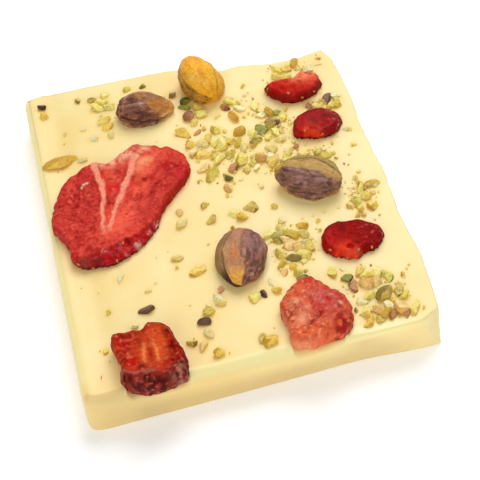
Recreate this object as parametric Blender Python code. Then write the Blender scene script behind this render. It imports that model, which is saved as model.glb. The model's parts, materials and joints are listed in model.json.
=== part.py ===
# White chocolate bark: one slab broken from a moulded sheet, with freeze-dried strawberry,
# whole pistachio kernels and chopped pistachio set in its top.
# Metres, +Z up. The slab lies on z = 0 and +X runs along its moulded front side. Plan positions
# are given from the slab's front left corner and moved to the middle of the whole at the end.

import math
import random

import bmesh
import bpy
from mathutils import Euler, Vector, geometry, noise

MM = 0.001

# Slab
SLAB_WIDTH = 73.5 * MM
SLAB_DEPTH = 96.4 * MM
SLAB_THICKNESS = 8.8 * MM
FRONT_CORNER_RADIUS = 2.6 * MM
BACK_CORNER_RADIUS = 1.6 * MM
EDGE_STEP = 2.5 * MM
BREAK_ROUGHNESS = 0.32 * MM
BREAK_GRAIN = 4.0 * MM

# Broken sides, in mm from the front left corner, from the front round to the back left
MOULDED_FRONT_END = (68.0, 0.0)
BROKEN_SIDE = [
    (72.0, 2.2), (73.0, 9.0), (73.4, 19.0), (72.6, 31.0), (73.5, 44.0), (72.7, 58.0),
    (73.3, 72.0), (72.9, 85.0), (71.2, 89.2), (65.0, 88.2), (58.0, 88.6), (51.0, 90.8),
    (47.4, 90.0), (41.5, 92.4), (35.8, 94.6), (27.0, 95.2), (17.5, 95.4), (10.5, 95.6), (4.5, 96.4),
]

# Share of the wall from the base up to the rounded rim, inset of a moulded side and inset of a
# broken side, in mm
WALL_LEVELS = [(0.0, 0.8, 0.5), (0.06, 0.3, 0.15), (0.55, 0.12, 0.35), (1.0, 0.0, 0.1)]

# How far the rounded rim reaches in over the top and how far the base stands out, in mm, by the
# distance along the front from its left corner. The left side takes the first values.
FRONT_RIM = [(0.0, 1.2), (6.0, 2.2), (44.0, 2.2), (55.0, 0.5), (68.0, 0.5)]
FRONT_BASE = [(0.0, 0.7), (24.0, 0.1), (36.0, -0.2), (56.0, -0.95), (68.0, 0.15)]
BROKEN_RIM = 0.3
RIM_SLOPE = 1.25
RIM_ANGLES = (30, 60, 90)
FLARE_REACH = 6.0 * MM

# How far the base stands forward of the top at the front right corner, in mm, by the distance
# back, and where along the front that starts
CORNER_FOOT = [(0.0, 0.0), (2.2, 2.0), (9.0, 0.0)]
CORNER_FOOT_START = 67.0 * MM

# Toppings
GAP = 0.3 * MM
BIT_CLEARANCE = 0.35 * MM
BIT_SUNK_SHARE = 0.3
RIM_CLEARANCE = 0.9 * MM
BIT_SIZES = (1.7, 3.4, 2.2)
BIT_SPACING = 0.34
BIT_SEED = 31
KERNEL_SINK = 1.5 * MM
KERNEL_TAPER = 0.13
KERNEL_RIDGE = 0.055
CLEFT_DEPTH = 0.16
CLEFT_WIDTH = 0.2

# Plan outlines of the strawberry pieces, clockwise, in mm from the slab's front left corner
LARGE_SLICE = [
    (0.9, 49.0), (2.2, 54.2), (4.4, 59.9), (8.6, 63.4), (12.4, 65.2), (15.6, 64.2), (19.6, 66.8),
    (23.2, 68.2), (28.0, 66.4), (32.2, 62.6), (32.9, 57.0), (29.6, 52.0), (25.2, 47.0),
    (22.6, 42.0), (18.6, 37.6), (12.6, 34.4), (7.2, 34.9), (3.9, 36.9), (3.7, 41.0), (2.0, 45.6),
]
DARK_CHUNK = [
    (8.4, 2.0), (8.9, 4.4), (8.3, 8.0), (8.2, 12.2), (12.2, 12.3), (14.3, 11.6), (16.2, 13.4),
    (19.2, 12.0), (20.9, 6.4), (21.5, 1.2), (19.3, -1.2), (14.4, -1.8), (10.4, -0.9),
]
DUSTY_CHUNK = [
    (42.0, 1.2), (42.2, 5.4), (41.6, 10.2), (43.6, 13.2), (46.1, 15.6), (49.4, 15.9), (52.5, 12.6),
    (54.9, 9.6), (55.2, 5.2), (53.4, 1.0), (49.8, 0.1), (45.2, -0.3),
]
ROUND_SLICE = [
    (54.3, 25.6), (55.7, 28.9), (58.6, 30.1), (62.6, 29.6), (66.0, 27.4), (67.2, 24.5),
    (65.4, 21.7), (62.4, 21.0), (60.3, 19.8), (57.2, 21.1), (55.1, 22.9),
]
BACK_SLICE = [
    (54.7, 77.9), (58.0, 78.9), (61.8, 78.3), (64.3, 80.1), (67.0, 78.8), (67.4, 75.2),
    (64.2, 72.4), (60.0, 71.8), (56.6, 74.0),
]
HIDDEN_SLICE = [
    (57.4, 60.4), (58.6, 64.6), (62.4, 66.6), (66.6, 65.6), (68.6, 62.4), (66.8, 59.0),
    (63.2, 58.0), (60.4, 58.8),
]

# Chopped pistachio: middle x, y, half spread across and along in mm, and how many
CHOPPED_CLUSTERS = [
    (18.6, 85.4, 3.6, 5.6, 8),
    (42.4, 60.6, 9.2, 8.4, 36),
    (54.6, 67.0, 3.8, 6.6, 24),
    (56.6, 53.4, 7.4, 5.0, 26),
    (66.4, 70.2, 4.6, 3.0, 12),
    (49.0, 27.4, 5.0, 7.0, 22),
    (60.9, 9.0, 6.6, 7.8, 26),
    (66.0, 38.6, 4.4, 5.2, 16),
    (48.6, 76.0, 4.4, 5.0, 12),
    (62.4, 84.0, 6.0, 2.6, 10),
]

# Single bits: x, y and size in mm. The long one lies flat along the front's direction.
LONG_BIT = (5.9, 69.8)
LONG_BIT_STRETCH = (2.0, 0.9, 0.6)
CHOPPED_SINGLES = [
    (3.8, 91.4, 2.2), (4.0, 87.6, 2.4), (12.6, 90.9, 1.8), (16.3, 86.2, 3.4), (19.4, 85.4, 2.8),
    (19.2, 82.8, 2.0), (17.1, 81.3, 2.6), (17.7, 78.9, 2.6), (13.9, 75.8, 2.2), (18.1, 75.6, 2.1),
    (10.4, 69.4, 2.0), (24.4, 90.9, 1.9), (28.0, 90.6, 1.6), (15.8, 89.4, 2.0), (5.9, 69.8, 3.4),
    (34.0, 85.2, 2.3), (36.0, 79.2, 2.2), (39.4, 75.9, 3.0), (36.6, 75.7, 3.0), (46.2, 77.4, 2.6),
    (47.6, 74.6, 2.4), (46.2, 72.2, 3.2), (33.8, 70.3, 3.3), (37.0, 69.8, 1.7), (36.9, 73.0, 2.0),
    (34.9, 65.9, 2.6), (37.1, 61.8, 3.5), (41.2, 63.2, 3.8), (39.5, 58.9, 3.6), (42.4, 59.4, 2.4),
    (41.7, 55.3, 3.0), (45.1, 57.2, 3.4), (47.0, 55.8, 1.9), (48.6, 64.7, 2.7), (45.9, 66.8, 2.6),
    (48.0, 61.2, 2.3), (45.6, 60.9, 2.4), (35.9, 57.4, 2.7), (47.2, 53.6, 1.8), (39.9, 49.6, 2.1),
    (41.3, 69.0, 2.8), (38.9, 66.6, 2.4), (33.8, 45.8, 1.9), (34.3, 40.8, 2.1), (39.2, 41.2, 2.7),
    (41.0, 39.6, 2.3), (43.0, 42.0, 2.8), (44.6, 40.4, 2.0), (28.2, 41.8, 2.2), (28.0, 45.4, 1.8),
    (24.8, 32.1, 2.3), (29.0, 32.4, 2.4), (28.6, 27.4, 3.3), (12.6, 30.2, 1.9), (44.9, 32.6, 2.9),
    (49.2, 31.2, 3.0), (49.6, 34.0, 2.6), (51.6, 30.4, 2.2), (52.0, 33.2, 2.3), (51.6, 28.2, 2.1),
    (48.2, 28.3, 2.6), (49.9, 26.7, 2.4), (45.9, 26.2, 2.8), (48.0, 24.6, 2.3), (47.4, 22.6, 2.0),
    (45.3, 23.7, 2.2), (50.5, 24.2, 2.9), (50.2, 21.6, 3.1), (48.2, 20.3, 2.5), (48.2, 18.1, 2.4),
    (45.0, 21.4, 2.3), (41.9, 19.0, 2.0), (42.4, 16.8, 2.4), (40.0, 17.0, 1.9), (38.2, 16.6, 2.7),
    (31.6, 20.4, 1.9), (30.9, 18.2, 2.6), (28.3, 15.3, 2.4), (26.8, 13.1, 2.3), (26.9, 9.8, 2.3),
    (23.4, 8.6, 2.2), (25.2, 7.0, 2.4), (28.2, 4.4, 2.3), (16.3, 19.8, 2.6), (12.9, 16.4, 1.7),
    (37.0, 5.3, 2.2), (38.5, 3.9, 2.8), (54.6, 18.0, 2.6), (56.8, 18.0, 2.2), (56.6, 15.4, 2.6),
    (57.4, 12.9, 2.4), (57.8, 10.4, 2.5), (60.1, 12.6, 2.7), (62.2, 12.3, 2.3), (62.6, 14.9, 2.8),
    (60.2, 15.0, 2.3), (59.8, 9.6, 2.5), (60.4, 7.2, 2.6), (63.1, 8.6, 3.4), (62.6, 5.6, 2.6),
    (60.5, 4.9, 2.0), (58.2, 8.4, 2.2), (58.2, 5.7, 2.5), (58.0, 2.9, 2.6), (60.2, 2.6, 1.8),
    (65.0, 4.6, 3.4), (62.9, 2.9, 2.0), (65.4, 2.1, 1.8), (67.3, 3.6, 2.6), (66.4, 7.2, 2.4),
]


def loop_points(corners, count):
    """A closed smooth curve through the corners, as evenly counted plan points in metres."""
    points = []
    total = len(corners)
    for index in range(count):
        place = index * total / count
        start = int(place)
        part = place - start
        a, b, c, d = (Vector(corners[(start + shift) % total]) for shift in (-1, 0, 1, 2))
        curve = (2 * b + (c - a) * part + (2 * a - 5 * b + 4 * c - d) * part ** 2
                 + (3 * b - a - 3 * c + d) * part ** 3)
        points.append(curve * 0.5 * MM)
    return points


def corner_arc(centre, radius, start_degrees, end_degrees, steps):
    """Plan points on an arc round a moulded corner."""
    points = []
    for step in range(steps + 1):
        angle = math.radians(start_degrees + (end_degrees - start_degrees) * step / steps)
        points.append(centre + radius * Vector((math.cos(angle), math.sin(angle))))
    return points


def walk(path, step):
    """Points along a path of plan points, a step apart, without its last point."""
    points = []
    for a, b in zip(path, path[1:]):
        count = max(1, round((b - a).length / step))
        points += [a.lerp(b, index / count) for index in range(count)]
    return points


def slab_outline():
    """The slab's plan outline, counter-clockwise, as points with how moulded the side is there."""
    front, back = FRONT_CORNER_RADIUS, BACK_CORNER_RADIUS
    front_end = Vector(MOULDED_FRONT_END) * MM
    broken = [front_end] + [Vector(point) * MM for point in BROKEN_SIDE]
    back_corner = corner_arc(Vector((back, SLAB_DEPTH - back)), back, 90, 180, 4)
    front_corner = corner_arc(Vector((front, front)), front, 180, 270, 5)
    moulded_path = back_corner[-1:] + front_corner[:1]
    outline = [(point, 1.0) for point in walk([front_corner[-1], front_end], EDGE_STEP)]
    outline += [(point, 0.0) for point in walk(broken + back_corner[:1], EDGE_STEP)]
    outline += [(point, 0.5) for point in back_corner[:-1]]
    outline += [(point, 1.0) for point in walk(moulded_path, EDGE_STEP)]
    outline += [(point, 1.0) for point in front_corner[:-1]]
    return outline


def loft(name, rings):
    """A closed mesh through rings of equal count, bottom first, with flat ends."""
    bm = bmesh.new()
    levels = [[bm.verts.new(point) for point in ring] for ring in rings]
    bm.faces.new(reversed(levels[0]))
    for lower, upper in zip(levels, levels[1:]):
        for index in range(len(lower)):
            after = (index + 1) % len(lower)
            bm.faces.new((lower[index], lower[after], upper[after], upper[index]))
    bm.faces.new(levels[-1])
    mesh = bpy.data.meshes.new(name)
    bm.to_mesh(mesh)
    bm.free()
    return mesh


def read_off(table, place):
    """The value at a place in a table of places and values, straight between its rows."""
    for (low, first), (high, second) in zip(table, table[1:]):
        if place <= high:
            return first + (second - first) * max(0.0, place - low) / (high - low)
    return table[-1][1]


def slab_mesh():
    """The bare slab: smooth moulded front and left sides, rough broken right and back sides."""
    outline = slab_outline()
    levels = [(*level, 0.0) for level in WALL_LEVELS]
    levels += [(*WALL_LEVELS[-1], math.radians(angle)) for angle in RIM_ANGLES]
    rings = []
    for share, moulded_inset, broken_inset, turn in levels:
        ring = []
        for index, (point, moulded) in enumerate(outline):
            before = outline[index - 1][0]
            after = outline[(index + 1) % len(outline)][0]
            along = (after - before).normalized()
            inward = Vector((-along.y, along.x))
            rim = (moulded * read_off(FRONT_RIM, point.x / MM) + (1 - moulded) * BROKEN_RIM) * MM
            flare = read_off(FRONT_BASE, point.x / MM) * MM * math.exp(-point.y / FLARE_REACH)
            height = share * (SLAB_THICKNESS - RIM_SLOPE * rim) + RIM_SLOPE * rim * math.sin(turn)
            rough = noise.noise(Vector((point.x, point.y, height)) / BREAK_GRAIN)
            broken = broken_inset * MM + BREAK_ROUGHNESS * (1 + rough)
            inset = moulded * (moulded_inset * MM - flare * (1 - share)) + (1 - moulded) * broken
            place = point + inward * (inset + rim * (1 - math.cos(turn)))
            if point.x > CORNER_FOOT_START:
                place.y -= read_off(CORNER_FOOT, point.y / MM) * MM * (1 - share)
            ring.append((place.x, place.y, height))
        rings.append(ring)
    return loft("chocolate_slab", rings)


def material(name, colour, roughness):
    """A plain finish in linear colour."""
    finish = bpy.data.materials.new(name)
    finish.use_nodes = True
    shader = finish.node_tree.nodes["Principled BSDF"]
    shader.inputs["Base Color"].default_value = (*colour, 1.0)
    shader.inputs["Roughness"].default_value = roughness
    shader.inputs["Metallic"].default_value = 0.0
    return finish


def add_object(name, mesh, collection, finish):
    """An object in a collection with one finish."""
    piece = bpy.data.objects.new(name, mesh)
    mesh.materials.append(finish)
    collection.objects.link(piece)
    return piece


def strawberry(name, corners, height, sink, crown, collection, finish, front_droop=0.0, points=32):
    """A cut strawberry piece: a wrinkled lump with a soft top edge over its plan outline."""
    outline = loop_points(corners[::-1], points)
    middle = sum(outline, Vector((0, 0))) / points
    # Inset in mm and height as a share from the sunk base (0) to the top edge (1)
    levels = [(1.5, 0.0), (0.35, 0.22), (0.0, 0.55), (0.3, 0.84), (1.3, 1.0)]
    rings = []
    for inset, share in levels:
        ring = []
        for point in outline:
            arm = point - middle
            pull = 1 - inset * MM / arm.length
            place = middle + arm * pull
            wrinkle = noise.noise(Vector((point.x, point.y, share * MM)) / (2.6 * MM))
            level = share * (height + sink) - sink
            if share < 0.5 and point.y < 2.2 * MM:
                level -= front_droop * (1 - share)
            rise = 0.28 * MM * wrinkle if share > 0.5 else 0.0
            ring.append((place.x - middle.x, place.y - middle.y, level + rise))
        rings.append(ring)
    inner = []
    for x, y, z in rings[-1]:
        relief = noise.noise(Vector((x, y, height)) / (3.0 * MM))
        inner.append((x * 0.55, y * 0.55, height + crown * (0.8 + 0.35 * relief)))
    rings.append(inner)
    piece = add_object(name, loft(name, rings), collection, finish)
    piece.location = (middle.x, middle.y, SLAB_THICKNESS)
    piece["plan"] = [value for point in outline for value in point]
    return piece


def kernel(name, x, y, length, width, height, turn, nose_up, roll, cleft_at, collection, finish):
    """A whole pistachio kernel: a blunt egg with a cleft along it, sunk in the slab."""
    bm = bmesh.new()
    bmesh.ops.create_uvsphere(bm, u_segments=24, v_segments=12, radius=1.0)
    for vert in bm.verts:
        along = vert.co.z
        blunt = max(0.0, 1 - abs(along) ** 2.2) ** 0.6
        taper = 1 - KERNEL_TAPER * along
        angle = math.atan2(vert.co.y, vert.co.x)
        cleft = 1 - CLEFT_DEPTH * math.exp(-((angle - math.radians(cleft_at)) / CLEFT_WIDTH) ** 2)
        ridge = 1 + KERNEL_RIDGE * math.cos(3 * angle + 0.9)
        reach = blunt * taper * cleft * ridge
        vert.co = Vector((
            math.cos(angle) * reach * width / 2,
            along * length / 2,
            math.sin(angle) * reach * height / 2,
        ))
    # The sphere's axis was laid along the kernel, which mirrors it
    bmesh.ops.reverse_faces(bm, faces=bm.faces)
    mesh = bpy.data.meshes.new(name)
    bm.to_mesh(mesh)
    bm.free()
    piece = add_object(name, mesh, collection, finish)
    turned = Euler((math.radians(nose_up), math.radians(roll), math.radians(turn)))
    lowest = min((turned.to_matrix() @ vert.co).z for vert in mesh.vertices)
    piece.rotation_euler = turned
    piece.location = (x, y, SLAB_THICKNESS - KERNEL_SINK - lowest)
    ring = []
    for index in range(24):
        angle = math.tau * index / 24
        across = width / 2 * math.cos(angle)
        along = length / 2 * math.sin(angle)
        spin = math.radians(turn)
        ring.append(x + across * math.cos(spin) - along * math.sin(spin))
        ring.append(y + across * math.sin(spin) + along * math.cos(spin))
    piece["plan"] = ring
    return piece


def chopped_places():
    """Every chopped bit as its plan place and size, singles first, then the clusters."""
    draw = random.Random(BIT_SEED)
    places = [(x * MM, y * MM, size * MM) for x, y, size in CHOPPED_SINGLES]
    for x, y, across, along, count in CHOPPED_CLUSTERS:
        for _ in range(count):
            angle = draw.uniform(0, math.tau)
            reach = math.sqrt(draw.uniform(0, 1))
            size = draw.triangular(*BIT_SIZES)
            place = (x + across * reach * math.cos(angle), y + along * reach * math.sin(angle))
            places.append((place[0] * MM, place[1] * MM, size * MM))
    return places


def distance_to_outline(point, outline):
    """Plan distance from a point to a closed outline, negative inside it."""
    nearest = 1.0
    inside = False
    for a, b in zip(outline, outline[1:] + outline[:1]):
        foot, share = geometry.intersect_point_line(point, a, b)
        foot = a.lerp(b, min(1.0, max(0.0, share)))
        nearest = min(nearest, (point - foot).length)
        if (a.y > point.y) != (b.y > point.y):
            if point.x < a.x + (b.x - a.x) * (point.y - a.y) / (b.y - a.y):
                inside = not inside
    return -nearest if inside else nearest


def plan_outline(piece):
    """A topping's plan outline, from the numbers kept on its object."""
    values = list(piece["plan"])
    return [Vector(pair) for pair in zip(values[::2], values[1::2])]


def chopped_bits(toppings, collection, finish):
    """Angular bits of nut sunk a third into the slab, clear of the toppings and of the rim."""
    rim = [point for point, _ in slab_outline()]
    keep_off = [plan_outline(piece) for piece in toppings]
    draw = random.Random(BIT_SEED + 1)
    kept = []
    for x, y, size in chopped_places():
        point = Vector((x, y))
        corners = [Vector([draw.gauss(0, 1) for _ in range(3)]).normalized() for _ in range(9)]
        stretch = Vector((draw.uniform(0.85, 1.25), draw.uniform(0.6, 0.9), draw.uniform(0.55, 0.8)))
        turn = Euler((draw.uniform(-0.4, 0.4), draw.uniform(-0.4, 0.4), draw.uniform(0, math.tau)))
        if (x, y) == (LONG_BIT[0] * MM, LONG_BIT[1] * MM):
            stretch = Vector(LONG_BIT_STRETCH)
            turn = Euler((0.0, 0.0, 0.0))
        reach = 0.62 * size
        if distance_to_outline(point, rim) > -(reach + RIM_CLEARANCE):
            continue
        if any(distance_to_outline(point, ring) < reach + BIT_CLEARANCE for ring in keep_off):
            continue
        if any((point - other).length < BIT_SPACING * (size + other_size) for other, other_size in kept):
            continue
        kept.append((point, size))
        places = [Vector([a * b for a, b in zip(corner, stretch)]) * size / 2 for corner in corners]
        for place in places:
            place.rotate(turn)
        lowest = min(place.z for place in places)
        tall = max(place.z for place in places) - lowest
        seat = Vector((x, y, SLAB_THICKNESS - BIT_SUNK_SHARE * tall - lowest))
        bm = bmesh.new()
        for place in places:
            bm.verts.new(place + seat)
        hull = bmesh.ops.convex_hull(bm, input=bm.verts)
        loose = [item for item in hull["geom_interior"] if isinstance(item, bmesh.types.BMVert)]
        bmesh.ops.delete(bm, geom=loose, context="VERTS")
        name = f"chopped_bit_{len(kept):03d}"
        mesh = bpy.data.meshes.new(name)
        bm.to_mesh(mesh)
        bm.free()
        add_object(name, mesh, collection, finish)


def grown_copy(piece, collection):
    """A copy of a topping, larger by the gap all round, that cuts its pocket."""
    bm = bmesh.new()
    bm.from_mesh(piece.data)
    bm.normal_update()
    for vert in bm.verts:
        vert.co += vert.normal * GAP
    mesh = bpy.data.meshes.new(piece.name + "_pocket")
    bm.to_mesh(mesh)
    bm.free()
    cutter = bpy.data.objects.new(mesh.name, mesh)
    cutter.matrix_world = piece.matrix_world
    cutter.hide_render = True
    cutter.display_type = "WIRE"
    collection.objects.link(cutter)


def apply_boolean(piece, operation, collection):
    """Cut a piece by a collection or join the collection to it, and remove the collection's objects."""
    step = piece.modifiers.new(operation.lower(), "BOOLEAN")
    step.operation = operation
    step.operand_type = "COLLECTION"
    step.collection = collection
    step.solver = "EXACT"
    bpy.context.view_layer.update()
    evaluated = piece.evaluated_get(bpy.context.evaluated_depsgraph_get())
    mesh = bpy.data.meshes.new_from_object(evaluated)
    piece.modifiers.clear()
    piece.data = mesh
    for item in list(collection.objects):
        bpy.data.objects.remove(item)


def new_collection(name):
    """A collection in the scene."""
    collection = bpy.data.collections.new(name)
    bpy.context.scene.collection.children.link(collection)
    return collection


def build():
    """The whole piece of bark."""
    for item in list(bpy.data.objects):
        bpy.data.objects.remove(item)
    bark = new_collection("chocolate_bark")
    cutters = new_collection("topping_pockets")
    bits = new_collection("chopped_pistachio")

    chocolate = material("white_chocolate", (0.94, 0.76, 0.36), 0.38)
    red_flesh = material("strawberry_flesh", (0.55, 0.06, 0.035), 0.55)
    dark_flesh = material("strawberry_skin", (0.32, 0.03, 0.025), 0.5)
    dusty_flesh = material("strawberry_dusty", (0.6, 0.13, 0.07), 0.6)
    brown_nut = material("kernel_brown", (0.28, 0.14, 0.09), 0.5)
    gold_nut = material("kernel_gold", (0.72, 0.38, 0.05), 0.45)

    slab = add_object("chocolate_slab", slab_mesh(), bark, chocolate)
    large, thick = 2.7 * MM, 4.2 * MM
    toppings = [
        strawberry("strawberry_slice_left", LARGE_SLICE, large, 1.0 * MM, 0.2 * MM, bark, red_flesh,
                   points=44),
        strawberry("strawberry_chunk_front_left", DARK_CHUNK, thick, 1.3 * MM, -0.3 * MM, bark,
                   dark_flesh, front_droop=0.3 * MM),
        strawberry("strawberry_chunk_front_right", DUSTY_CHUNK, 3.1 * MM, 1.3 * MM, 0.9 * MM, bark,
                   dusty_flesh),
        strawberry("strawberry_slice_right", ROUND_SLICE, 2.3 * MM, 1.2 * MM, 0.3 * MM, bark,
                   dark_flesh),
        strawberry("strawberry_slice_back", BACK_SLICE, 2.8 * MM, 1.2 * MM, 0.4 * MM, bark, red_flesh),
        strawberry("strawberry_slice_centre", HIDDEN_SLICE, 2.4 * MM, 1.2 * MM, 0.5 * MM, bark,
                   red_flesh),
        kernel("pistachio_front", 37.5 * MM, 26.3 * MM, 14.8 * MM, 10.9 * MM, 8.0 * MM,
               166, -4, 8, 50, bark, brown_nut),
        kernel("pistachio_back_left", 27.0 * MM, 79.9 * MM, 13.2 * MM, 9.0 * MM, 7.4 * MM,
               -100, -4, 10, 8, bark, brown_nut),
        kernel("pistachio_back", 41.1 * MM, 84.6 * MM, 14.3 * MM, 9.9 * MM, 9.0 * MM,
               17, 8, 14, 60, bark, gold_nut),
        kernel("pistachio_right", 56.6 * MM, 44.6 * MM, 15.0 * MM, 10.0 * MM, 8.2 * MM,
               58, 3, -12, 55, bark, brown_nut),
    ]
    bpy.context.view_layer.update()
    for topping in toppings:
        grown_copy(topping, cutters)
    apply_boolean(slab, "DIFFERENCE", cutters)
    chopped_bits(toppings, bits, chocolate)
    apply_boolean(slab, "UNION", bits)
    settle([slab] + toppings)


def settle(pieces):
    """Move the whole so that the middle of its base is the origin, and shade it."""
    bpy.context.view_layer.update()
    corners = [piece.matrix_world @ vert.co for piece in pieces for vert in piece.data.vertices]
    middle_x = (min(c.x for c in corners) + max(c.x for c in corners)) / 2
    middle_y = (min(c.y for c in corners) + max(c.y for c in corners)) / 2
    for piece in pieces:
        piece.location.x -= middle_x
        piece.location.y -= middle_y
        piece.data.shade_smooth()
        piece.data.set_sharp_from_angle(angle=math.radians(40))


build()
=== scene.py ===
# The looks of a slab of white chocolate bark, with freeze-dried strawberry and pistachio on it.
# Plan places are in millimetres from the slab's front left corner, along its moulded front side
# and back from it. Heights are in millimetres above the floor.

import json
import math
import random

import bmesh
import bpy
import numpy as np
from mathutils import Euler, Matrix, Vector, noise
from mathutils.bvhtree import BVHTree

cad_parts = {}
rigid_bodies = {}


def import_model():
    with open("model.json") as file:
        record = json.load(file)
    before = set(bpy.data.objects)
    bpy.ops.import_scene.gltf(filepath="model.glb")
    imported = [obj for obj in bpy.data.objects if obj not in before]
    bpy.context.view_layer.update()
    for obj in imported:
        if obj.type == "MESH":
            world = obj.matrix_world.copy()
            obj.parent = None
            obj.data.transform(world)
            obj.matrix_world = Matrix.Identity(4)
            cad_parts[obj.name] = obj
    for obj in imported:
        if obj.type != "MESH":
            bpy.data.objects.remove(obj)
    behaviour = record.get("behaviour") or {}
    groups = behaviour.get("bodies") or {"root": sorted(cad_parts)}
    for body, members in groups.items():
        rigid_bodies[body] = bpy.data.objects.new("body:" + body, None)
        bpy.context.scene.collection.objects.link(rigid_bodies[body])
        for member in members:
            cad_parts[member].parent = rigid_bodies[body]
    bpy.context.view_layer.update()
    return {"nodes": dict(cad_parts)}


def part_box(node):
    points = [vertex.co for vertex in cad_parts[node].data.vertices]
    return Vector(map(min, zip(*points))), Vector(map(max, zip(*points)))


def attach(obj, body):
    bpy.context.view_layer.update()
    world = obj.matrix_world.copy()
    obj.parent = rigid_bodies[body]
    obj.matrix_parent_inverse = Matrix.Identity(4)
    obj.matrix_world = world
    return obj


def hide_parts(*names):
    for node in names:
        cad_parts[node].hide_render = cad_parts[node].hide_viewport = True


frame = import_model()
scene = bpy.context.scene
scene.view_settings.view_transform = "Standard"

# Camera
# It looks 45 degrees down on the slab from beyond its front left corner, a little turned to the
# right of the slab's own direction, with a long lens that fills the frame with the slab.
MM = 0.001
THICKNESS = 8.8
CAMERA_PLACE = (13.9, -189.4, 231.1)
CAMERA_PITCH = 45
CAMERA_YAW = 19.17
AIM_PLACE = (38.7, 33.4, THICKNESS)
CAMERA_SENSOR = 36
CAMERA_LENS = 113.4
BASE_STANDS_OUT = (0.127, 0.297)

slab_low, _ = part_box("chocolate_slab")
corner = np.array((slab_low.x + BASE_STANDS_OUT[0] * MM, slab_low.y + BASE_STANDS_OUT[1] * MM, 0.0))


def in_place(points):
    """Places in metres in the frame, from millimetres at the slab's front left corner."""
    return corner + np.asarray(points, float) * MM


camera_data = bpy.data.cameras.new("camera")
camera_data.sensor_width = CAMERA_SENSOR
camera_data.lens = CAMERA_LENS
camera_data.clip_start = 0.01
camera_data.clip_end = 20
camera = bpy.data.objects.new("camera", camera_data)
scene.collection.objects.link(camera)
scene.camera = camera
level = Euler((math.radians(CAMERA_PITCH), 0, math.radians(-CAMERA_YAW))).to_quaternion()
camera_place = Vector(in_place(CAMERA_PLACE))
to_slab = Vector(in_place(AIM_PLACE)) - camera_place
turned = (level @ Vector((0, 0, -1))).rotation_difference(to_slab)
camera.matrix_world = Matrix.Translation(camera_place) @ (turned @ level).to_matrix().to_4x4()

# Chocolate slab
# White chocolate cast in a tray, so its front and left sides are smooth and its top is a free
# surface that creeps up on the tray's wall and on every topping. The other sides are broken.
FRONT_CORNER_RADIUS = 2.6
BACK_CORNER_RADIUS = 1.6
SLAB_DEPTH = 96.4
BROKEN_FRONT = [(68.0, 0.0), (72.0, 2.2)]
BROKEN_RIGHT = [
    (72.0, 2.2), (73.0, 9.0), (73.4, 19.0), (72.6, 31.0), (73.5, 44.0), (72.7, 58.0),
    (73.3, 72.0), (72.9, 85.0), (71.2, 89.2),
]
BROKEN_BACK = [
    (71.2, 89.2), (65.0, 88.2), (58.0, 88.6), (51.0, 90.8), (47.4, 90.0), (41.5, 92.4),
    (35.8, 94.6), (27.0, 95.2), (17.5, 95.4), (10.5, 95.6), (4.5, 96.4),
]
CELLS_ACROSS = 176
CELLS_ALONG = 230
EDGE_SOFTENING = 10
# By places along the front side: how far its rim turns in, and how far its foot stands out.
FRONT_RIM = [(0.0, 1.2), (6.0, 2.2), (44.0, 2.2), (55.0, 0.5), (68.0, 0.5)]
FRONT_BASE = [(0.0, 0.7), (24.0, 0.1), (36.0, -0.2), (56.0, -0.95), (68.0, 0.15)]
BROKEN_RIM = 0.3
RIM_SLOPE = 1.25
FLARE_REACH = 6.0
CORNER_FOOT = [(0.0, 0.0), (2.2, 2.0), (9.0, 0.0)]
CORNER_FOOT_START = 67.0
DRAFT = 0.3
BASE_ROUNDING = 0.45
BASE_INSET = 0.5
BULGE = 0.25
BREAK_INSET = 0.26
BREAK_DEPTH = 0.24
BREAK_GRAIN = 6.5
BREAK_STRETCH = 0.8
CHIP_DEPTH = 0.13
CHIP_GRAIN = 1.4
MENISCUS_RISE = 0.34
MENISCUS_REACH = 0.75
MENISCUS_SEARCH = 4
POCKET_DEPTH = 0.4
POCKET_GAP = 0.1
# Waves are given as size and height. The lips are where the top creeps up the tray's wall and
# dips beside it, given as distance from the wall, width and height.
TOP_WAVES = [(22, 0.14), (7, 0.05)]
LEFT_LIP = [(1.9, 1.1, 0.16), (6.4, 2.4, -0.24)]
FRONT_LIP = [(1.8, 1.0, 0.10), (5.2, 2.0, -0.12)]
EASING = (-4, -2, 0, 2, 4)
RIM_ANGLES = np.linspace(10, 90, 9)
WALL_SHARES = np.linspace(0, 1, 15)[1:]
BASE_ANGLES = (30, 60, 90)
RIM_LIFT_FADE = 3
SMOOTH_ANGLE = 40
IVORY = (250, 219, 143)
IVORY_PALE = (254, 229, 162)
IVORY_BROKEN = (253, 231, 176)
PINK_STAIN = (238, 178, 128)
NEAR_BIT_GOLD = (243, 206, 108)
# Painted shade for the front wall, then a painted highlight for the rims.
PAINTED_WALL_SHADE_COLOUR = (212, 186, 128)
PAINTED_RIM_HIGHLIGHT = (255, 238, 174)
SATIN = 0.36
CRUMBLY = 0.62
STAIN_STRENGTH = 0.55
STAIN_REACH = 0.45
STAIN_SEARCH = 5
# The moulded front wall is darkened by painted shade, more near its foot, and the rims are lightened by a
# painted highlight. A band is given by where it starts to show and where it is full, and a share by places
# along the front.
FRONT_WALL_END = 2.0
WALL_FOOT_BAND = (6.5, 3.0)
LOW_WALL_SHADE = [(0, 0.3), (8, 0.5), (12, 0.8), (20, 0.55), (60, 0.5), (68, 0.0)]
HIGH_WALL_SHADE = [(0, 0.45), (8, 0.45), (16, 0.0), (50, 0.0), (56, 0.5), (62, 0.0)]
RIM_HIGHLIGHT_STRENGTH = 0.8
LEFT_RIM_BAND = (2.2, 1.0)
LEFT_RIM_START = (3, 7)
LEFT_RIM_FOOT = 5
FRONT_RIM_BAND = (2.8, 1.8)
FRONT_RIM_HEIGHT = (6.8, 7.8)
FRONT_RIM_START = (12, 20)
FRONT_RIM_END = (70, 64)
TOPPINGS = [name for name in frame["nodes"] if name != "chocolate_slab"]
BERRIES = [name for name in TOPPINGS if name.startswith("strawberry")]


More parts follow.
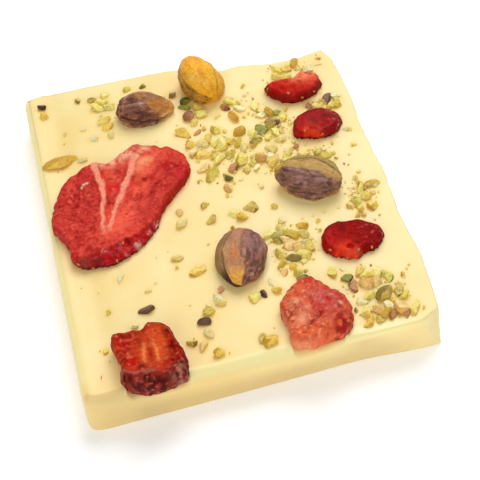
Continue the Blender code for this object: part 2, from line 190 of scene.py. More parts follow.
def grain(points, size, seed=0):
    """Smooth noise from about -1 to 1 at each point, with features of the given size."""
    places = np.asarray(points, float) / size + 31.7 * seed
    if places.shape[1] == 2:
        places = np.column_stack([places, np.full(len(places), 0.37 + seed)])
    return np.array([noise.noise(place) for place in places.tolist()]) * 1.6


def linear(red, green, blue):
    """A colour for a shader, from 0 to 255 as it looks on a screen."""
    parts = np.array((red, green, blue)) / 255
    return np.where(parts <= 0.04045, parts / 12.92, ((parts + 0.055) / 1.055) ** 2.4)


def arc(middle, radius, start, end, steps=10):
    """Plan points on an arc, between two angles in degrees."""
    angles = np.radians(np.linspace(start, end, steps + 1))
    return [(middle[0] + radius * math.cos(a), middle[1] + radius * math.sin(a)) for a in angles]


def side(path, marks, count):
    """Evenly spaced points along one side, softened between its ends, and how moulded each is."""
    path = np.array(path, float)
    reach = np.concatenate(([0.0], np.cumsum(np.linalg.norm(np.diff(path, axis=0), axis=1))))
    stops = np.linspace(0, reach[-1], count + 1)
    points = np.column_stack([np.interp(stops, reach, path[:, 0]), np.interp(stops, reach, path[:, 1])])
    for _ in range(EDGE_SOFTENING):
        points[1:-1] = (points[:-2] + 2 * points[1:-1] + points[2:]) / 4
    return points[:-1], np.interp(stops, reach, marks)[:-1]


def slab_loop():
    """The slab's plan outline from the front left corner round, with how moulded each point is."""
    near, far = FRONT_CORNER_RADIUS, BACK_CORNER_RADIUS
    back_middle = (far, SLAB_DEPTH - far)
    front_path = arc((near, near), near, 225, 270) + BROKEN_FRONT
    back_path = BROKEN_BACK + arc(back_middle, far, 90, 135)
    left_path = arc(back_middle, far, 135, 180) + arc((near, near), near, 180, 225)
    parts = [
        side(front_path, [1] * (len(front_path) - 1) + [0], CELLS_ACROSS),
        side(BROKEN_RIGHT, [0] * len(BROKEN_RIGHT), CELLS_ALONG),
        side(back_path, [0] * len(BROKEN_BACK) + [1] * (len(back_path) - len(BROKEN_BACK)), CELLS_ACROSS),
        side(left_path, [1] * len(left_path), CELLS_ALONG),
    ]
    return np.vstack([part[0] for part in parts]), np.concatenate([part[1] for part in parts])


def filled(loop):
    """Rows of plan points from front to back that fill a loop."""
    closed = np.vstack([loop, loop[:1]])
    turn = CELLS_ACROSS + CELLS_ALONG
    front, right = closed[:CELLS_ACROSS + 1], closed[CELLS_ACROSS:turn + 1]
    back, left = closed[turn:turn + CELLS_ACROSS + 1][::-1], closed[turn + CELLS_ACROSS:][::-1]
    u = np.linspace(0, 1, CELLS_ACROSS + 1)[None, :, None]
    v = np.linspace(0, 1, CELLS_ALONG + 1)[:, None, None]
    rows = (1 - v) * front[None] + v * back[None] + (1 - u) * left[:, None] + u * right[:, None]
    corners = (1 - u) * (1 - v) * front[0] + u * (1 - v) * front[-1]
    return rows - corners - u * v * back[-1] - (1 - u) * v * back[0]


def solid_tree(names):
    """The solids of some nodes, for measuring distances to them."""
    points, faces = [], []
    for name in names:
        mesh = frame["nodes"][name].data
        start = len(points)
        points += [vert.co.copy() for vert in mesh.vertices]
        faces += [[start + index for index in face.vertices] for face in mesh.polygons]
    return BVHTree.FromPolygons(points, faces)


def faded(values, start, end):
    """0 before a start and 1 past an end, rising evenly between them, in either direction."""
    return np.clip((values - start) / (end - start), 0, 1)


def top_surface(plan):
    """Heights of the cast top over plan points: waves, tray rim, rise and pocket at each topping."""
    height = np.full(len(plan), THICKNESS)
    for seed, (size, rise) in enumerate(TOP_WAVES):
        height += rise * grain(plan, size, seed)
    for from_wall, lip in zip(plan.T, (LEFT_LIP, FRONT_LIP)):
        for place, width, rise in lip:
            height += rise * np.exp(-((from_wall - place) / width) ** 2)
    toppings = solid_tree(TOPPINGS)
    for index, place in enumerate(in_place(np.column_stack([plan, height]))):
        _, _, _, gap = toppings.find_nearest(place, MENISCUS_SEARCH * MM)
        if gap is None:
            continue
        height[index] += MENISCUS_RISE * math.exp(-gap / MM / MENISCUS_REACH)
        under, _, _, _ = toppings.ray_cast((place[0], place[1], 0), (0, 0, 1), THICKNESS * MM)
        if under and under.z / MM < THICKNESS - POCKET_DEPTH:
            height[index] = under.z / MM - POCKET_GAP
    return height


def mesh_piece(name, points, faces, finish, smooth_angle=None):
    """An object from places in millimetres, with one finish."""
    mesh = bpy.data.meshes.new(name)
    mesh.from_pydata(in_place(points).tolist(), [], faces)
    mesh.materials.append(finish)
    mesh.shade_smooth()
    if smooth_angle is not None:
        mesh.set_sharp_from_angle(angle=math.radians(smooth_angle))
    piece = bpy.data.objects.new(name, mesh)
    scene.collection.objects.link(piece)
    return piece


def paint(piece, name, values):
    """A number or a colour on each point of a piece, for its shader."""
    values = np.asarray(values, float)
    if values.ndim == 1:
        piece.data.attributes.new(name, "FLOAT", "POINT").data.foreach_set("value", values)
    else:
        colours = np.column_stack([values, np.ones(len(values))]).ravel()
        piece.data.attributes.new(name, "FLOAT_COLOR", "POINT").data.foreach_set("color", colours)


def shader_node(finish, kind, inputs=(), **settings):
    """A shader node with its settings, its inputs set to values or fed by other nodes."""
    item = finish.node_tree.nodes.new(kind)
    for name, value in settings.items():
        setattr(item, name, value)
    for name, value in dict(inputs).items():
        if isinstance(value, bpy.types.NodeSocket):
            finish.node_tree.links.new(value, item.inputs[name])
        else:
            item.inputs[name].default_value = value
    return item


def connect(finish, shader, **sockets):
    """Feed values made by other nodes to inputs of the main shader."""
    for name, value in sockets.items():
        finish.node_tree.links.new(value, shader.inputs[name.replace("_", " ").title()])


def soften(shader, weight, radii, depth):
    """Let light spread under the surface: its weight, its reach in each colour and its depth."""
    shader.inputs["Subsurface Weight"].default_value = weight
    shader.inputs["Subsurface Radius"].default_value = radii
    shader.inputs["Subsurface Scale"].default_value = depth * MM


def new_finish(name, roughness, specular):
    """A material with its main shader and its place on the object."""
    finish = bpy.data.materials.new(name)
    finish.use_nodes = True
    shader = finish.node_tree.nodes["Principled BSDF"]
    shader.inputs["Roughness"].default_value = roughness
    shader.inputs["Specular IOR Level"].default_value = specular
    place = shader_node(finish, "ShaderNodeTexCoord").outputs["Object"]
    return finish, shader, place


def noise_node(finish, place, size, detail=3.0, roughness=0.55):
    """Noise with features of the given size in millimetres."""
    values = {"Vector": place, "Scale": 1 / (size * MM), "Detail": detail, "Roughness": roughness}
    return shader_node(finish, "ShaderNodeTexNoise", values).outputs["Fac"]


def spread(finish, value, low, high, start=0.0, end=1.0):
    """A value from one range carried over to another, clamped."""
    inputs = {"Value": value, "From Min": low, "From Max": high, "To Min": start, "To Max": end}
    return shader_node(finish, "ShaderNodeMapRange", inputs).outputs["Result"]


def blended(finish, share, first, second, mode="MIX"):
    """Two colours blended by a share."""
    item = shader_node(finish, "ShaderNodeMix", data_type="RGBA", blend_type=mode)
    for index, value in ((0, share), (6, first), (7, second)):
        if isinstance(value, bpy.types.NodeSocket):
            finish.node_tree.links.new(value, item.inputs[index])
        elif index:
            item.inputs[index].default_value = (*value, 1.0)
        else:
            item.inputs[index].default_value = value
    return item.outputs[2]


def attribute(finish, name, output="Fac"):
    """A number or a colour painted on the piece."""
    return shader_node(finish, "ShaderNodeAttribute", attribute_name=name).outputs[output]


def product(finish, first, second, operation="MULTIPLY"):
    """Two values multiplied, or joined by another operation."""
    item = shader_node(finish, "ShaderNodeMath", operation=operation)
    for socket, value in zip(item.inputs, (first, second)):
        if isinstance(value, bpy.types.NodeSocket):
            finish.node_tree.links.new(value, socket)
        else:
            socket.default_value = value
    return item.outputs["Value"]


def bump(finish, shader, height, depth, strength=1.0):
    """Relief in the shader from a height between 0 and 1 and a depth in millimetres."""
    values = {"Height": height, "Distance": depth * MM, "Strength": strength}
    connect(finish, shader, normal=shader_node(finish, "ShaderNodeBump", values).outputs["Normal"])


def chocolate_finish():
    """Ivory white chocolate: satin on its cast faces, dull and crumbly where it broke."""
    finish, shader, place = new_finish("ivory_chocolate", SATIN, 0.42)
    cloud = spread(finish, noise_node(finish, place, 19.0, 2.0), 0.38, 0.64)
    colour = blended(finish, cloud, linear(*IVORY), linear(*IVORY_PALE))
    # Two of these tints are painted light: shade on the front wall and a highlight along the rims.
    tints = {"stain": PINK_STAIN, "oil": NEAR_BIT_GOLD, "grey": PAINTED_WALL_SHADE_COLOUR, "pale": PAINTED_RIM_HIGHLIGHT, "broken": IVORY_BROKEN}
    for name, tint in tints.items():
        colour = blended(finish, attribute(finish, name), colour, linear(*tint))
    broken = attribute(finish, "broken")
    connect(finish, shader, base_color=colour, roughness=spread(finish, broken, 0.0, 1.0, SATIN, CRUMBLY))
    soften(shader, 0.45, (1.0, 0.75, 0.4), 2.2)
    ripple = noise_node(finish, place, 2.6, 2.0)
    crumb = product(finish, noise_node(finish, place, 0.5, 4.0, 0.65), broken)
    relief = product(finish, product(finish, ripple, 0.12), crumb, "ADD")
    bump(finish, shader, relief, 0.3, 0.9)
    return finish


loop, moulded = slab_loop()
ahead, behind = np.roll(loop, -1, axis=0), np.roll(loop, 1, axis=0)
along_loop = (ahead - behind) / np.linalg.norm(ahead - behind, axis=1)[:, None]
inward = np.column_stack([-along_loop[:, 1], along_loop[:, 0]])


def along_front(table):
    """Values round the slab from a table of places along the front, eased between its rows."""
    return np.mean([np.interp(loop[:, 0] + shift, *zip(*table)) for shift in EASING], axis=0)


def wall_ring(height, moulded_inset, broken_inset, rim_inset=0.0):
    """Plan points round the slab at one height, with the roughness of the broken sides."""
    level_points = np.column_stack([loop, np.full(len(loop), height * BREAK_STRETCH)])
    rough = BREAK_DEPTH * grain(level_points, BREAK_GRAIN, 2)
    rough += CHIP_DEPTH * grain(level_points, CHIP_GRAIN, 3)
    broken = broken_inset + BREAK_INSET + rough
    inset = moulded * moulded_inset + (1 - moulded) * broken + rim_inset
    ring = loop + inward * inset[:, None]
    foot = np.interp(loop[:, 1], *zip(*CORNER_FOOT)) * (loop[:, 0] > CORNER_FOOT_START)
    ring[:, 1] -= foot * np.clip(1 - height / THICKNESS, 0, 1)
    return ring


rim_reach = moulded * along_front(FRONT_RIM) + (1 - moulded) * BROKEN_RIM
flare = along_front(FRONT_BASE) * np.exp(-loop[:, 1] / FLARE_REACH)
top_plan = filled(wall_ring(THICKNESS, 0.0, 0.0, rim_reach)).reshape(-1, 2)
top_heights = top_surface(top_plan)
row = CELLS_ACROSS + 1
front_ids = list(range(CELLS_ACROSS))
right_ids = [CELLS_ACROSS + row * step for step in range(CELLS_ALONG)]
back_ids = [row * CELLS_ALONG + CELLS_ACROSS - step for step in range(CELLS_ACROSS)]
left_ids = [row * (CELLS_ALONG - step) for step in range(CELLS_ALONG)]
rim_ids = np.array(front_ids + right_ids + back_ids + left_ids)
rim_heights = top_heights[rim_ids]

slab_points = [np.column_stack([top_plan, top_heights])]
side_rings = []
for angle in np.radians(RIM_ANGLES):
    drop = RIM_SLOPE * rim_reach * (1 - math.cos(angle))
    side_rings.append((drop, 0.0, 0.0, rim_reach * (1 - math.sin(angle))))
wall_start, wall_end = RIM_SLOPE * rim_reach, THICKNESS - BASE_ROUNDING
for share in WALL_SHARES:
    drop = wall_start + (wall_end - wall_start) * share
    side_rings.append((drop, (DRAFT - flare) * share, BULGE * math.sin(share * math.pi), 0.0))
for angle in np.radians(BASE_ANGLES):
    drop = wall_end + BASE_ROUNDING * math.sin(angle)
    inset = BASE_INSET * (1 - math.cos(angle))
    side_rings.append((np.full(len(loop), drop), DRAFT - flare + inset, inset, 0.0))
for drop, moulded_inset, broken_inset, rim_inset in side_rings:
    lift = (rim_heights - THICKNESS) * np.clip(1 - drop / RIM_LIFT_FADE, 0, 1)
    heights = THICKNESS - drop + lift
    ring = wall_ring(heights, moulded_inset, broken_inset, rim_inset)
    slab_points.append(np.column_stack([ring, heights]))

slab_faces = []
for line in range(CELLS_ALONG):
    for step in range(CELLS_ACROSS):
        first = line * row + step
        slab_faces.append((first, first + 1, first + row + 1, first + row))
upper = rim_ids
for index in range(len(side_rings)):
    lower = len(top_plan) + index * len(loop) + np.arange(len(loop))
    quads = np.column_stack([upper, lower, np.roll(lower, -1), np.roll(upper, -1)])
    slab_faces += quads.tolist()
    upper = lower
slab_faces.append(upper[::-1].tolist())

around = np.vstack(slab_points)
slab = mesh_piece("white_chocolate_slab", around, slab_faces, chocolate_finish(), SMOOTH_ANGLE)


def on_sides(values):
    """Values round the slab carried down its sides, and 0 on its top."""
    return np.concatenate([np.zeros(len(top_plan)), np.tile(values, len(side_rings))])


paint(slab, "broken", on_sides(1 - moulded))
berry_tree = solid_tree(BERRIES)
gaps = [berry_tree.find_nearest(place, STAIN_SEARCH * MM)[3] for place in in_place(around)]
gaps = np.array([math.inf if gap is None else gap / MM for gap in gaps])
paint(slab, "stain", STAIN_STRENGTH * np.exp(-gaps / STAIN_REACH))
across, back, up = around.T
# Painted shade on the front wall, in a band near its foot and a band above it.
low = faded(up, *WALL_FOOT_BAND)
grey = low * np.interp(across, *zip(*LOW_WALL_SHADE)) + (1 - low) * np.interp(across, *zip(*HIGH_WALL_SHADE))
paint(slab, "grey", grey * on_sides(loop[:, 1] < FRONT_WALL_END))
# A painted highlight along the left and front rims.
left_rim = faded(across, *LEFT_RIM_BAND) * faded(back, *LEFT_RIM_START) * (up > LEFT_RIM_FOOT)
front_rim = faded(back, *FRONT_RIM_BAND) * faded(up, *FRONT_RIM_HEIGHT)
front_rim *= faded(across, *FRONT_RIM_START) * faded(across, *FRONT_RIM_END)
paint(slab, "pale", RIM_HIGHLIGHT_STRENGTH * np.maximum(left_rim, front_rim))
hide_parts("chocolate_slab")
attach(slab, "root")

# Strawberry pieces
# Freeze-dried strawberry, dropped on the chocolate while it was soft. The flesh is porous and
# crinkled, with pale veins round the core, and the thin skin is darker and carries the seeds.
# How far the side of a piece is set in, from its foot to its rim.
SIDE_SHAPE = [(0.0, 1.5), (0.22, 0.35), (0.55, 0.0), (0.84, 0.2), (1.0, 0.85)]
SIDE_LEVELS = 15
EDGE_AT_FOOT = 1.45
RIM_TURN = 0.85
CROWN_START = 0.45
DROOP_END = 2.2
SKIN_ROUGHNESS = 0.36
FLESH = linear(222, 64, 46)
LOBE_RED = linear(204, 52, 42)
DEEP_RED = linear(184, 8, 6)
CRIMSON = linear(190, 8, 16)
MAROON = linear(104, 10, 12)
CORAL = linear(252, 98, 72)
PEACH = linear(255, 150, 108)
VEIN = linear(255, 160, 130)
ROSE = linear(236, 80, 62)
PALE_PINK = linear(255, 190, 152)
EMBER = linear(228, 88, 34)
SALMON = linear(228, 102, 64)
DUST = linear(246, 206, 172)
SEED = linear(204, 150, 84)
BURNT_ORANGE = linear(250, 104, 56)
WARM_PINK = linear(244, 120, 88)
SIGNAL_RED = linear(226, 20, 14)
CHERRY = linear(206, 22, 40)
SKIN_ROSE = linear(196, 64, 62)
SKIN_BROWN = linear(150, 56, 48)
PAINTED_SKIN_GLINT = linear(244, 190, 172)
STALK_BROWN = linear(124, 74, 58)
DARK_CHUNK_COLOURS = {
    "flesh": (178, 44, 22), "light streak": (232, 92, 54), "dark streak": (168, 24, 12),
    "eye": (158, 20, 12), "strokes": (255, 138, 78), "shade": (128, 12, 8), "scarlet": (200, 14, 8),
    "hollow": (112, 8, 8), "glint": (240, 132, 100), "back rim": (130, 52, 36),
    "front band": (168, 96, 80), "rind": (84, 14, 10), "worn rind": (140, 38, 27),
    "painted rind glints": (190, 94, 76), "painted rind highlight": (216, 140, 118),
}
DUSTY_CHUNK_COLOURS = {
    "fold": (198, 60, 40), "back": (226, 70, 50), "middle": (214, 62, 54), "red": (170, 20, 16),
    "pale": (255, 176, 134), "orange": (238, 110, 62), "pit": (128, 22, 12), "fleck": (164, 28, 20),
    "veil": (214, 110, 104), "glint": (255, 166, 124), "dust": (242, 172, 142), "left rim": (236, 150, 108),
}
SMALL_SLICE_COLOURS = {
    "flesh": (164, 6, 4), "heart": (232, 62, 28), "heart light": (244, 106, 80), "left": (196, 26, 26),
    "shade": (96, 2, 4), "right": (118, 4, 6), "glint": (214, 84, 76), "rim": (140, 12, 10),
    "foot": (84, 8, 6),
}
BACK_SLICE_COLOURS = {"flesh": (208, 40, 26), "light": (228, 70, 46), "arm": (255, 140, 98)}

LARGE_SLICE = [
    (0.9, 49.0), (2.2, 54.2), (4.4, 59.9), (8.6, 63.4), (12.4, 65.2), (15.6, 64.2), (19.6, 66.8),
    (23.2, 68.2), (28.0, 66.4), (32.2, 62.6), (32.9, 57.0), (29.6, 52.0), (25.2, 47.0),
    (22.6, 42.0), (18.6, 37.6), (12.6, 34.4), (7.2, 34.9), (3.9, 36.9), (3.7, 41.0), (2.0, 45.6),
]
DARK_CHUNK = [
    (8.4, 2.0), (8.9, 4.4), (8.3, 8.0), (8.2, 12.2), (12.2, 12.3), (14.3, 11.6), (16.2, 13.4),
    (19.2, 12.0), (20.9, 6.4), (21.5, 1.2), (19.3, -1.2), (14.4, -1.8), (10.4, -0.9),
]
DUSTY_CHUNK = [
    (42.0, 1.2), (42.2, 5.4), (41.6, 10.2), (43.6, 13.2), (46.1, 15.6), (49.4, 15.9), (52.5, 12.6),
    (54.9, 9.6), (55.2, 5.2), (53.4, 1.0), (49.8, 0.1), (45.2, -0.3),
]
ROUND_SLICE = [
    (54.3, 25.6), (55.7, 28.9), (58.6, 30.1), (62.6, 29.6), (66.0, 27.4), (67.2, 24.5),
    (65.4, 21.7), (62.4, 21.0), (60.3, 19.8), (57.2, 21.1), (55.1, 22.9),
]
BACK_SLICE = [
    (54.7, 77.9), (58.0, 78.9), (61.8, 78.3), (64.3, 80.1), (67.0, 78.8), (67.4, 75.2),
    (64.2, 72.4), (60.0, 71.8), (56.6, 74.0),
]
CENTRE_SLICE = [
    (57.4, 60.4), (58.6, 64.6), (62.4, 66.6), (66.6, 65.6), (68.6, 62.4), (66.8, 59.0),
    (63.2, 58.0), (60.4, 58.8),
]
LEFT_VEIN = [(12.6, 64.4), (13.1, 60.0), (13.5, 56.6), (13.2, 52.4), (12.0, 47.6), (11.5, 41.4)]
RIGHT_VEIN = [(21.8, 64.0), (20.4, 59.7), (18.4, 55.6), (16.6, 51.6), (14.8, 47.6), (12.9, 42.5)]
SKIN_LINE = [(3.0, 36.4), (8.7, 36.6), (13.1, 38.2), (16.9, 39.5), (20.9, 41.9), (25.0, 44.6)]
SLICE_CORE = (13.4, 43.0)
BUBBLE = (14.8, 51.4)
# Soft round patches seen on each piece, as place across, place back, radius and strength. The
# patches of the large slice bend with its fibres and its marks don't. Those of the small slices
# are placed from their middle.
LARGE_SLICE_PATCHES = {
    "rose": [(6.4, 60.4, 1.7, 0.9), (6.6, 57.6, 1.3, 0.8), (4.0, 50.6, 1.6, 0.4)],
    "coral": [
        (14.4, 43.6, 3.3, 1.2), (18.8, 50.4, 2.3, 1.0), (20.4, 53.4, 1.8, 0.9), (21.8, 59.6, 2.4, 1.0),
        (26.4, 64.6, 2.6, 0.8), (24.6, 58.6, 2.2, 0.5), (17.4, 46.4, 1.8, 0.8), (9.6, 40.6, 2.2, 0.4),
    ],
    "orange": [
        (15.0, 59.0, 0.9, 0.9), (21.4, 56.8, 1.3, 0.7), (24.8, 61.2, 1.5, 0.6), (22.6, 54.4, 0.9, 0.5),
    ],
    "fan light": [(17.0, 57.6, 1.3, 0.5), (19.0, 62.0, 1.0, 0.6), (16.0, 61.4, 0.9, 0.6)],
    "pits": [
        (8.2, 57.4, 1.0, 0.9), (11.5, 57.4, 0.9, 0.9), (7.4, 54.8, 1.1, 0.6), (9.3, 52.4, 0.9, 0.8),
        (6.4, 52.6, 1.0, 0.5), (7.4, 47.2, 0.9, 0.4), (10.4, 54.6, 1.0, 0.6), (22.9, 56.0, 0.9, 0.9),
        (24.9, 52.6, 0.9, 0.8), (30.0, 57.8, 0.9, 1.0), (23.3, 50.4, 0.8, 0.8), (19.7, 46.9, 0.8, 0.7),
        (18.9, 58.7, 0.7, 0.8), (17.2, 60.4, 0.8, 0.6), (27.2, 51.6, 0.8, 0.6), (20.6, 62.2, 0.6, 0.6),
        (25.4, 64.0, 0.7, 0.3), (13.8, 61.6, 0.8, 0.5), (28.4, 55.0, 0.8, 0.5),
    ],
    "signal red": [(15.4, 55.2, 1.1, 0.9), (14.0, 60.8, 0.8, 0.6)],
    "cherry": [(31.0, 56.2, 1.3, 0.9), (30.4, 53.8, 1.6, 0.5)],
    "top edge": [
        (17.2, 63.4, 1.6, 1.0), (20.4, 65.2, 1.9, 1.0), (22.8, 64.2, 1.3, 0.9), (24.6, 66.4, 1.1, 0.8),
        (13.6, 63.8, 1.4, 0.7), (14.6, 62.4, 0.9, 0.5),
    ],
    "peach": [(22.8, 61.4, 1.7, 1.0), (24.8, 62.2, 1.4, 0.8), (21.4, 59.0, 1.0, 0.7)],
    "back rose": [(24.6, 65.0, 0.7, 0.9), (28.6, 64.6, 1.4, 0.4)],
}
LARGE_SLICE_MARKS = {
    "right lobe": [(23.4, 50.0, 4.4, 1.0), (27.0, 54.2, 3.8, 1.0), (21.6, 45.6, 3.0, 1.0)],
    "streaked": [(26.2, 57.4, 5.2, 1.0)],
    "core": [(14.4, 43.6, 3.4, 1.0)],
    "bubble": [(*BUBBLE, 0.8, 1.0)],
    "bubble light": [(15.0, 52.4, 0.5, 0.6)],
    "flake": [(9.6, 57.9, 0.32, 1.0), (10.3, 58.2, 0.34, 1.0), (9.0, 57.4, 0.24, 0.8)],
    "brown": [(6.0, 35.8, 1.9, 0.9)],
    "foot": [(8.8, 35.0, 1.1, 0.7)],
    # Painted glints on the skin.
    "painted skin glints": [
        (10.7, 37.1, 0.6, 0.8), (17.8, 37.6, 0.7, 1.0), (19.9, 37.4, 0.5, 0.8), (15.0, 35.9, 0.4, 0.7),
        (22.6, 42.2, 0.6, 0.9), (20.8, 40.6, 0.4, 0.6), (18.4, 38.9, 0.4, 0.7),
    ],
    "stalk": [(23.8, 67.4, 2.0, 0.85)],
}
DARK_CHUNK_PATCHES = {
    "core": [(15.0, 5.0, 3.4, 1.0)],
    "ember": [(15.0, 5.0, 3.4, 0.9), (16.8, 10.4, 2.4, 0.75), (17.6, 7.0, 1.6, 0.4)],
    "scarlet": [(11.0, 4.0, 1.5, 0.9), (9.4, 9.0, 1.4, 0.6)],
    "hollow": [(12.9, 2.6, 0.8, 1.0), (9.2, 4.6, 0.8, 0.9)],
    # A painted highlight on the skin near the front right corner.
    "painted rind highlight": [(19.4, -0.2, 1.6, 0.6)],
}
DARK_CHUNK_FRONT = [(7.5, 2.4), (9.6, 1.5), (13.0, 0.5), (16.1, -0.1), (19.0, 0.7), (21.4, 1.6)]
DARK_CHUNK_STROKES = [[(14.1, 7.5), (13.7, 5.3), (13.4, 3.1)], [(16.0, 7.8), (16.3, 6.0), (16.2, 3.4)]]
EYE_PLACE = (15.0, 5.0)
EYE_REACH = (0.65, 2.1)
DUSTY_CHUNK_PATCHES = {
    "back": [(48.6, 14.2, 1.6, 0.8), (51.8, 10.2, 1.8, 0.9)],
    "middle": [(49.4, 6.8, 2.4, 0.8), (52.4, 8.2, 2.4, 0.8)],
    "red": [(53.2, 3.0, 2.3, 1.1), (51.6, 0.2, 2.0, 1.1), (47.2, 4.0, 1.5, 1.0), (49.2, 5.2, 1.0, 0.9)],
    "pale": [(44.8, 9.0, 1.3, 0.8), (45.0, 4.8, 1.3, 0.8), (46.6, 7.0, 0.9, 0.5)],
    "orange": [(44.6, 0.6, 2.3, 0.9), (48.6, 1.2, 1.9, 0.7), (47.0, 13.2, 1.2, 0.4)],
    "pits": [
        (48.6, 4.7, 0.6, 1.0), (46.2, 3.2, 0.6, 0.8), (51.1, 9.0, 0.6, 0.6), (42.9, 6.8, 1.0, 1.0),
        (44.6, 1.6, 0.5, 0.4), (54.6, 3.4, 0.9, 0.8), (52.9, 6.0, 0.6, 0.6), (47.8, 9.6, 0.5, 0.4),
    ],
    "veil": [(51.0, 8.4, 3.6, 0.55)],
    "dusty": [(51.8, 7.8, 3.4, 1.0)],
    "dust": [(52.2, 9.0, 0.45, 0.7), (53.4, 6.8, 0.5, 0.7)],
}
SMALL_SLICE_PATCHES = {
    "heart": [(-3.4, -2.9, 1.9, 0.9), (-1.6, -3.6, 2.0, 1.0), (-1.6, -5.4, 1.6, 1.0)],
    "heart light": [(-2.2, -5.0, 1.0, 0.63), (0.4, -5.2, 1.0, 0.81)],
}
BACK_SLICE_PATCHES = {
    "arm": [(64.8, 78.4, 2.6, 1.0), (62.0, 76.8, 1.8, 0.5)],
    "shade": [(57.4, 74.4, 3.0, 0.6), (62.0, 72.6, 2.0, 0.4)],
}


def smooth_loop(corners, count):
    """A closed smooth curve through corners, as plan points."""
    corners = np.array(corners, float)
    place = np.arange(count) * len(corners) / count
    start = place.astype(int)
    part = (place - start)[:, None]
    a, b, c, d = (corners[(start + shift) % len(corners)] for shift in (-1, 0, 1, 2))
    curve = 2 * b + (c - a) * part + (2 * a - 5 * b + 4 * c - d) * part ** 2
    return (curve + (3 * b - a - 3 * c + d) * part ** 3) / 2


def line_distance(plan, line):
    """Distance from each plan point to a line through points."""
    nearest = np.full(len(plan), 1e9)
    for a, b in zip(np.array(line[:-1], float), np.array(line[1:], float)):
        share = np.clip((plan - a) @ (b - a) / ((b - a) @ (b - a)), 0, 1)
        nearest = np.minimum(nearest, np.linalg.norm(plan - a - share[:, None] * (b - a), axis=1))
    return nearest


def step_up(values, low, high):
    """0 below one value, 1 above another, smooth between."""
    share = np.clip((values - low) / (high - low), 0, 1)
    return share * share * (3 - 2 * share)


def mixed(colours, other, share):
    """Colours blended towards another by a share for each point."""
    return colours + (other - colours) * np.clip(share, 0, 1)[:, None]


def ridges(place, size, seed):
    """Soft crinkled crests: 1 on a crest, falling to 0 between crests."""
    bend = 0.35 * size * np.column_stack([grain(place, 3 * size, seed + part) for part in (1, 2, 3)])
    return 1 - np.clip(np.abs(grain(place + bend, size, seed)) * 1.6, 0, 1)


def patch_shares(plan, table):
    """How much of each named group of soft round patches there is at each point."""
    shares = {}
    for name, group in table.items():
        shares[name] = 0
        for x, y, radius, strength in group:
            away = np.linalg.norm(plan - (x, y), axis=1)
            shares[name] = shares[name] + strength * np.exp(-(away / radius) ** 2)
    return shares


def layered(base, layers):
    """Colours of points: a base colour, then layers of other colours, each with its share."""
    colours = np.tile(base, (len(layers[0][1]), 1))
    for colour, share in layers:
        colours = mixed(colours, colour, share)
    return colours


def shader_colours(table):
    """Named colours made ready for shaders."""
    return {name: linear(*colour) for name, colour in table.items()}


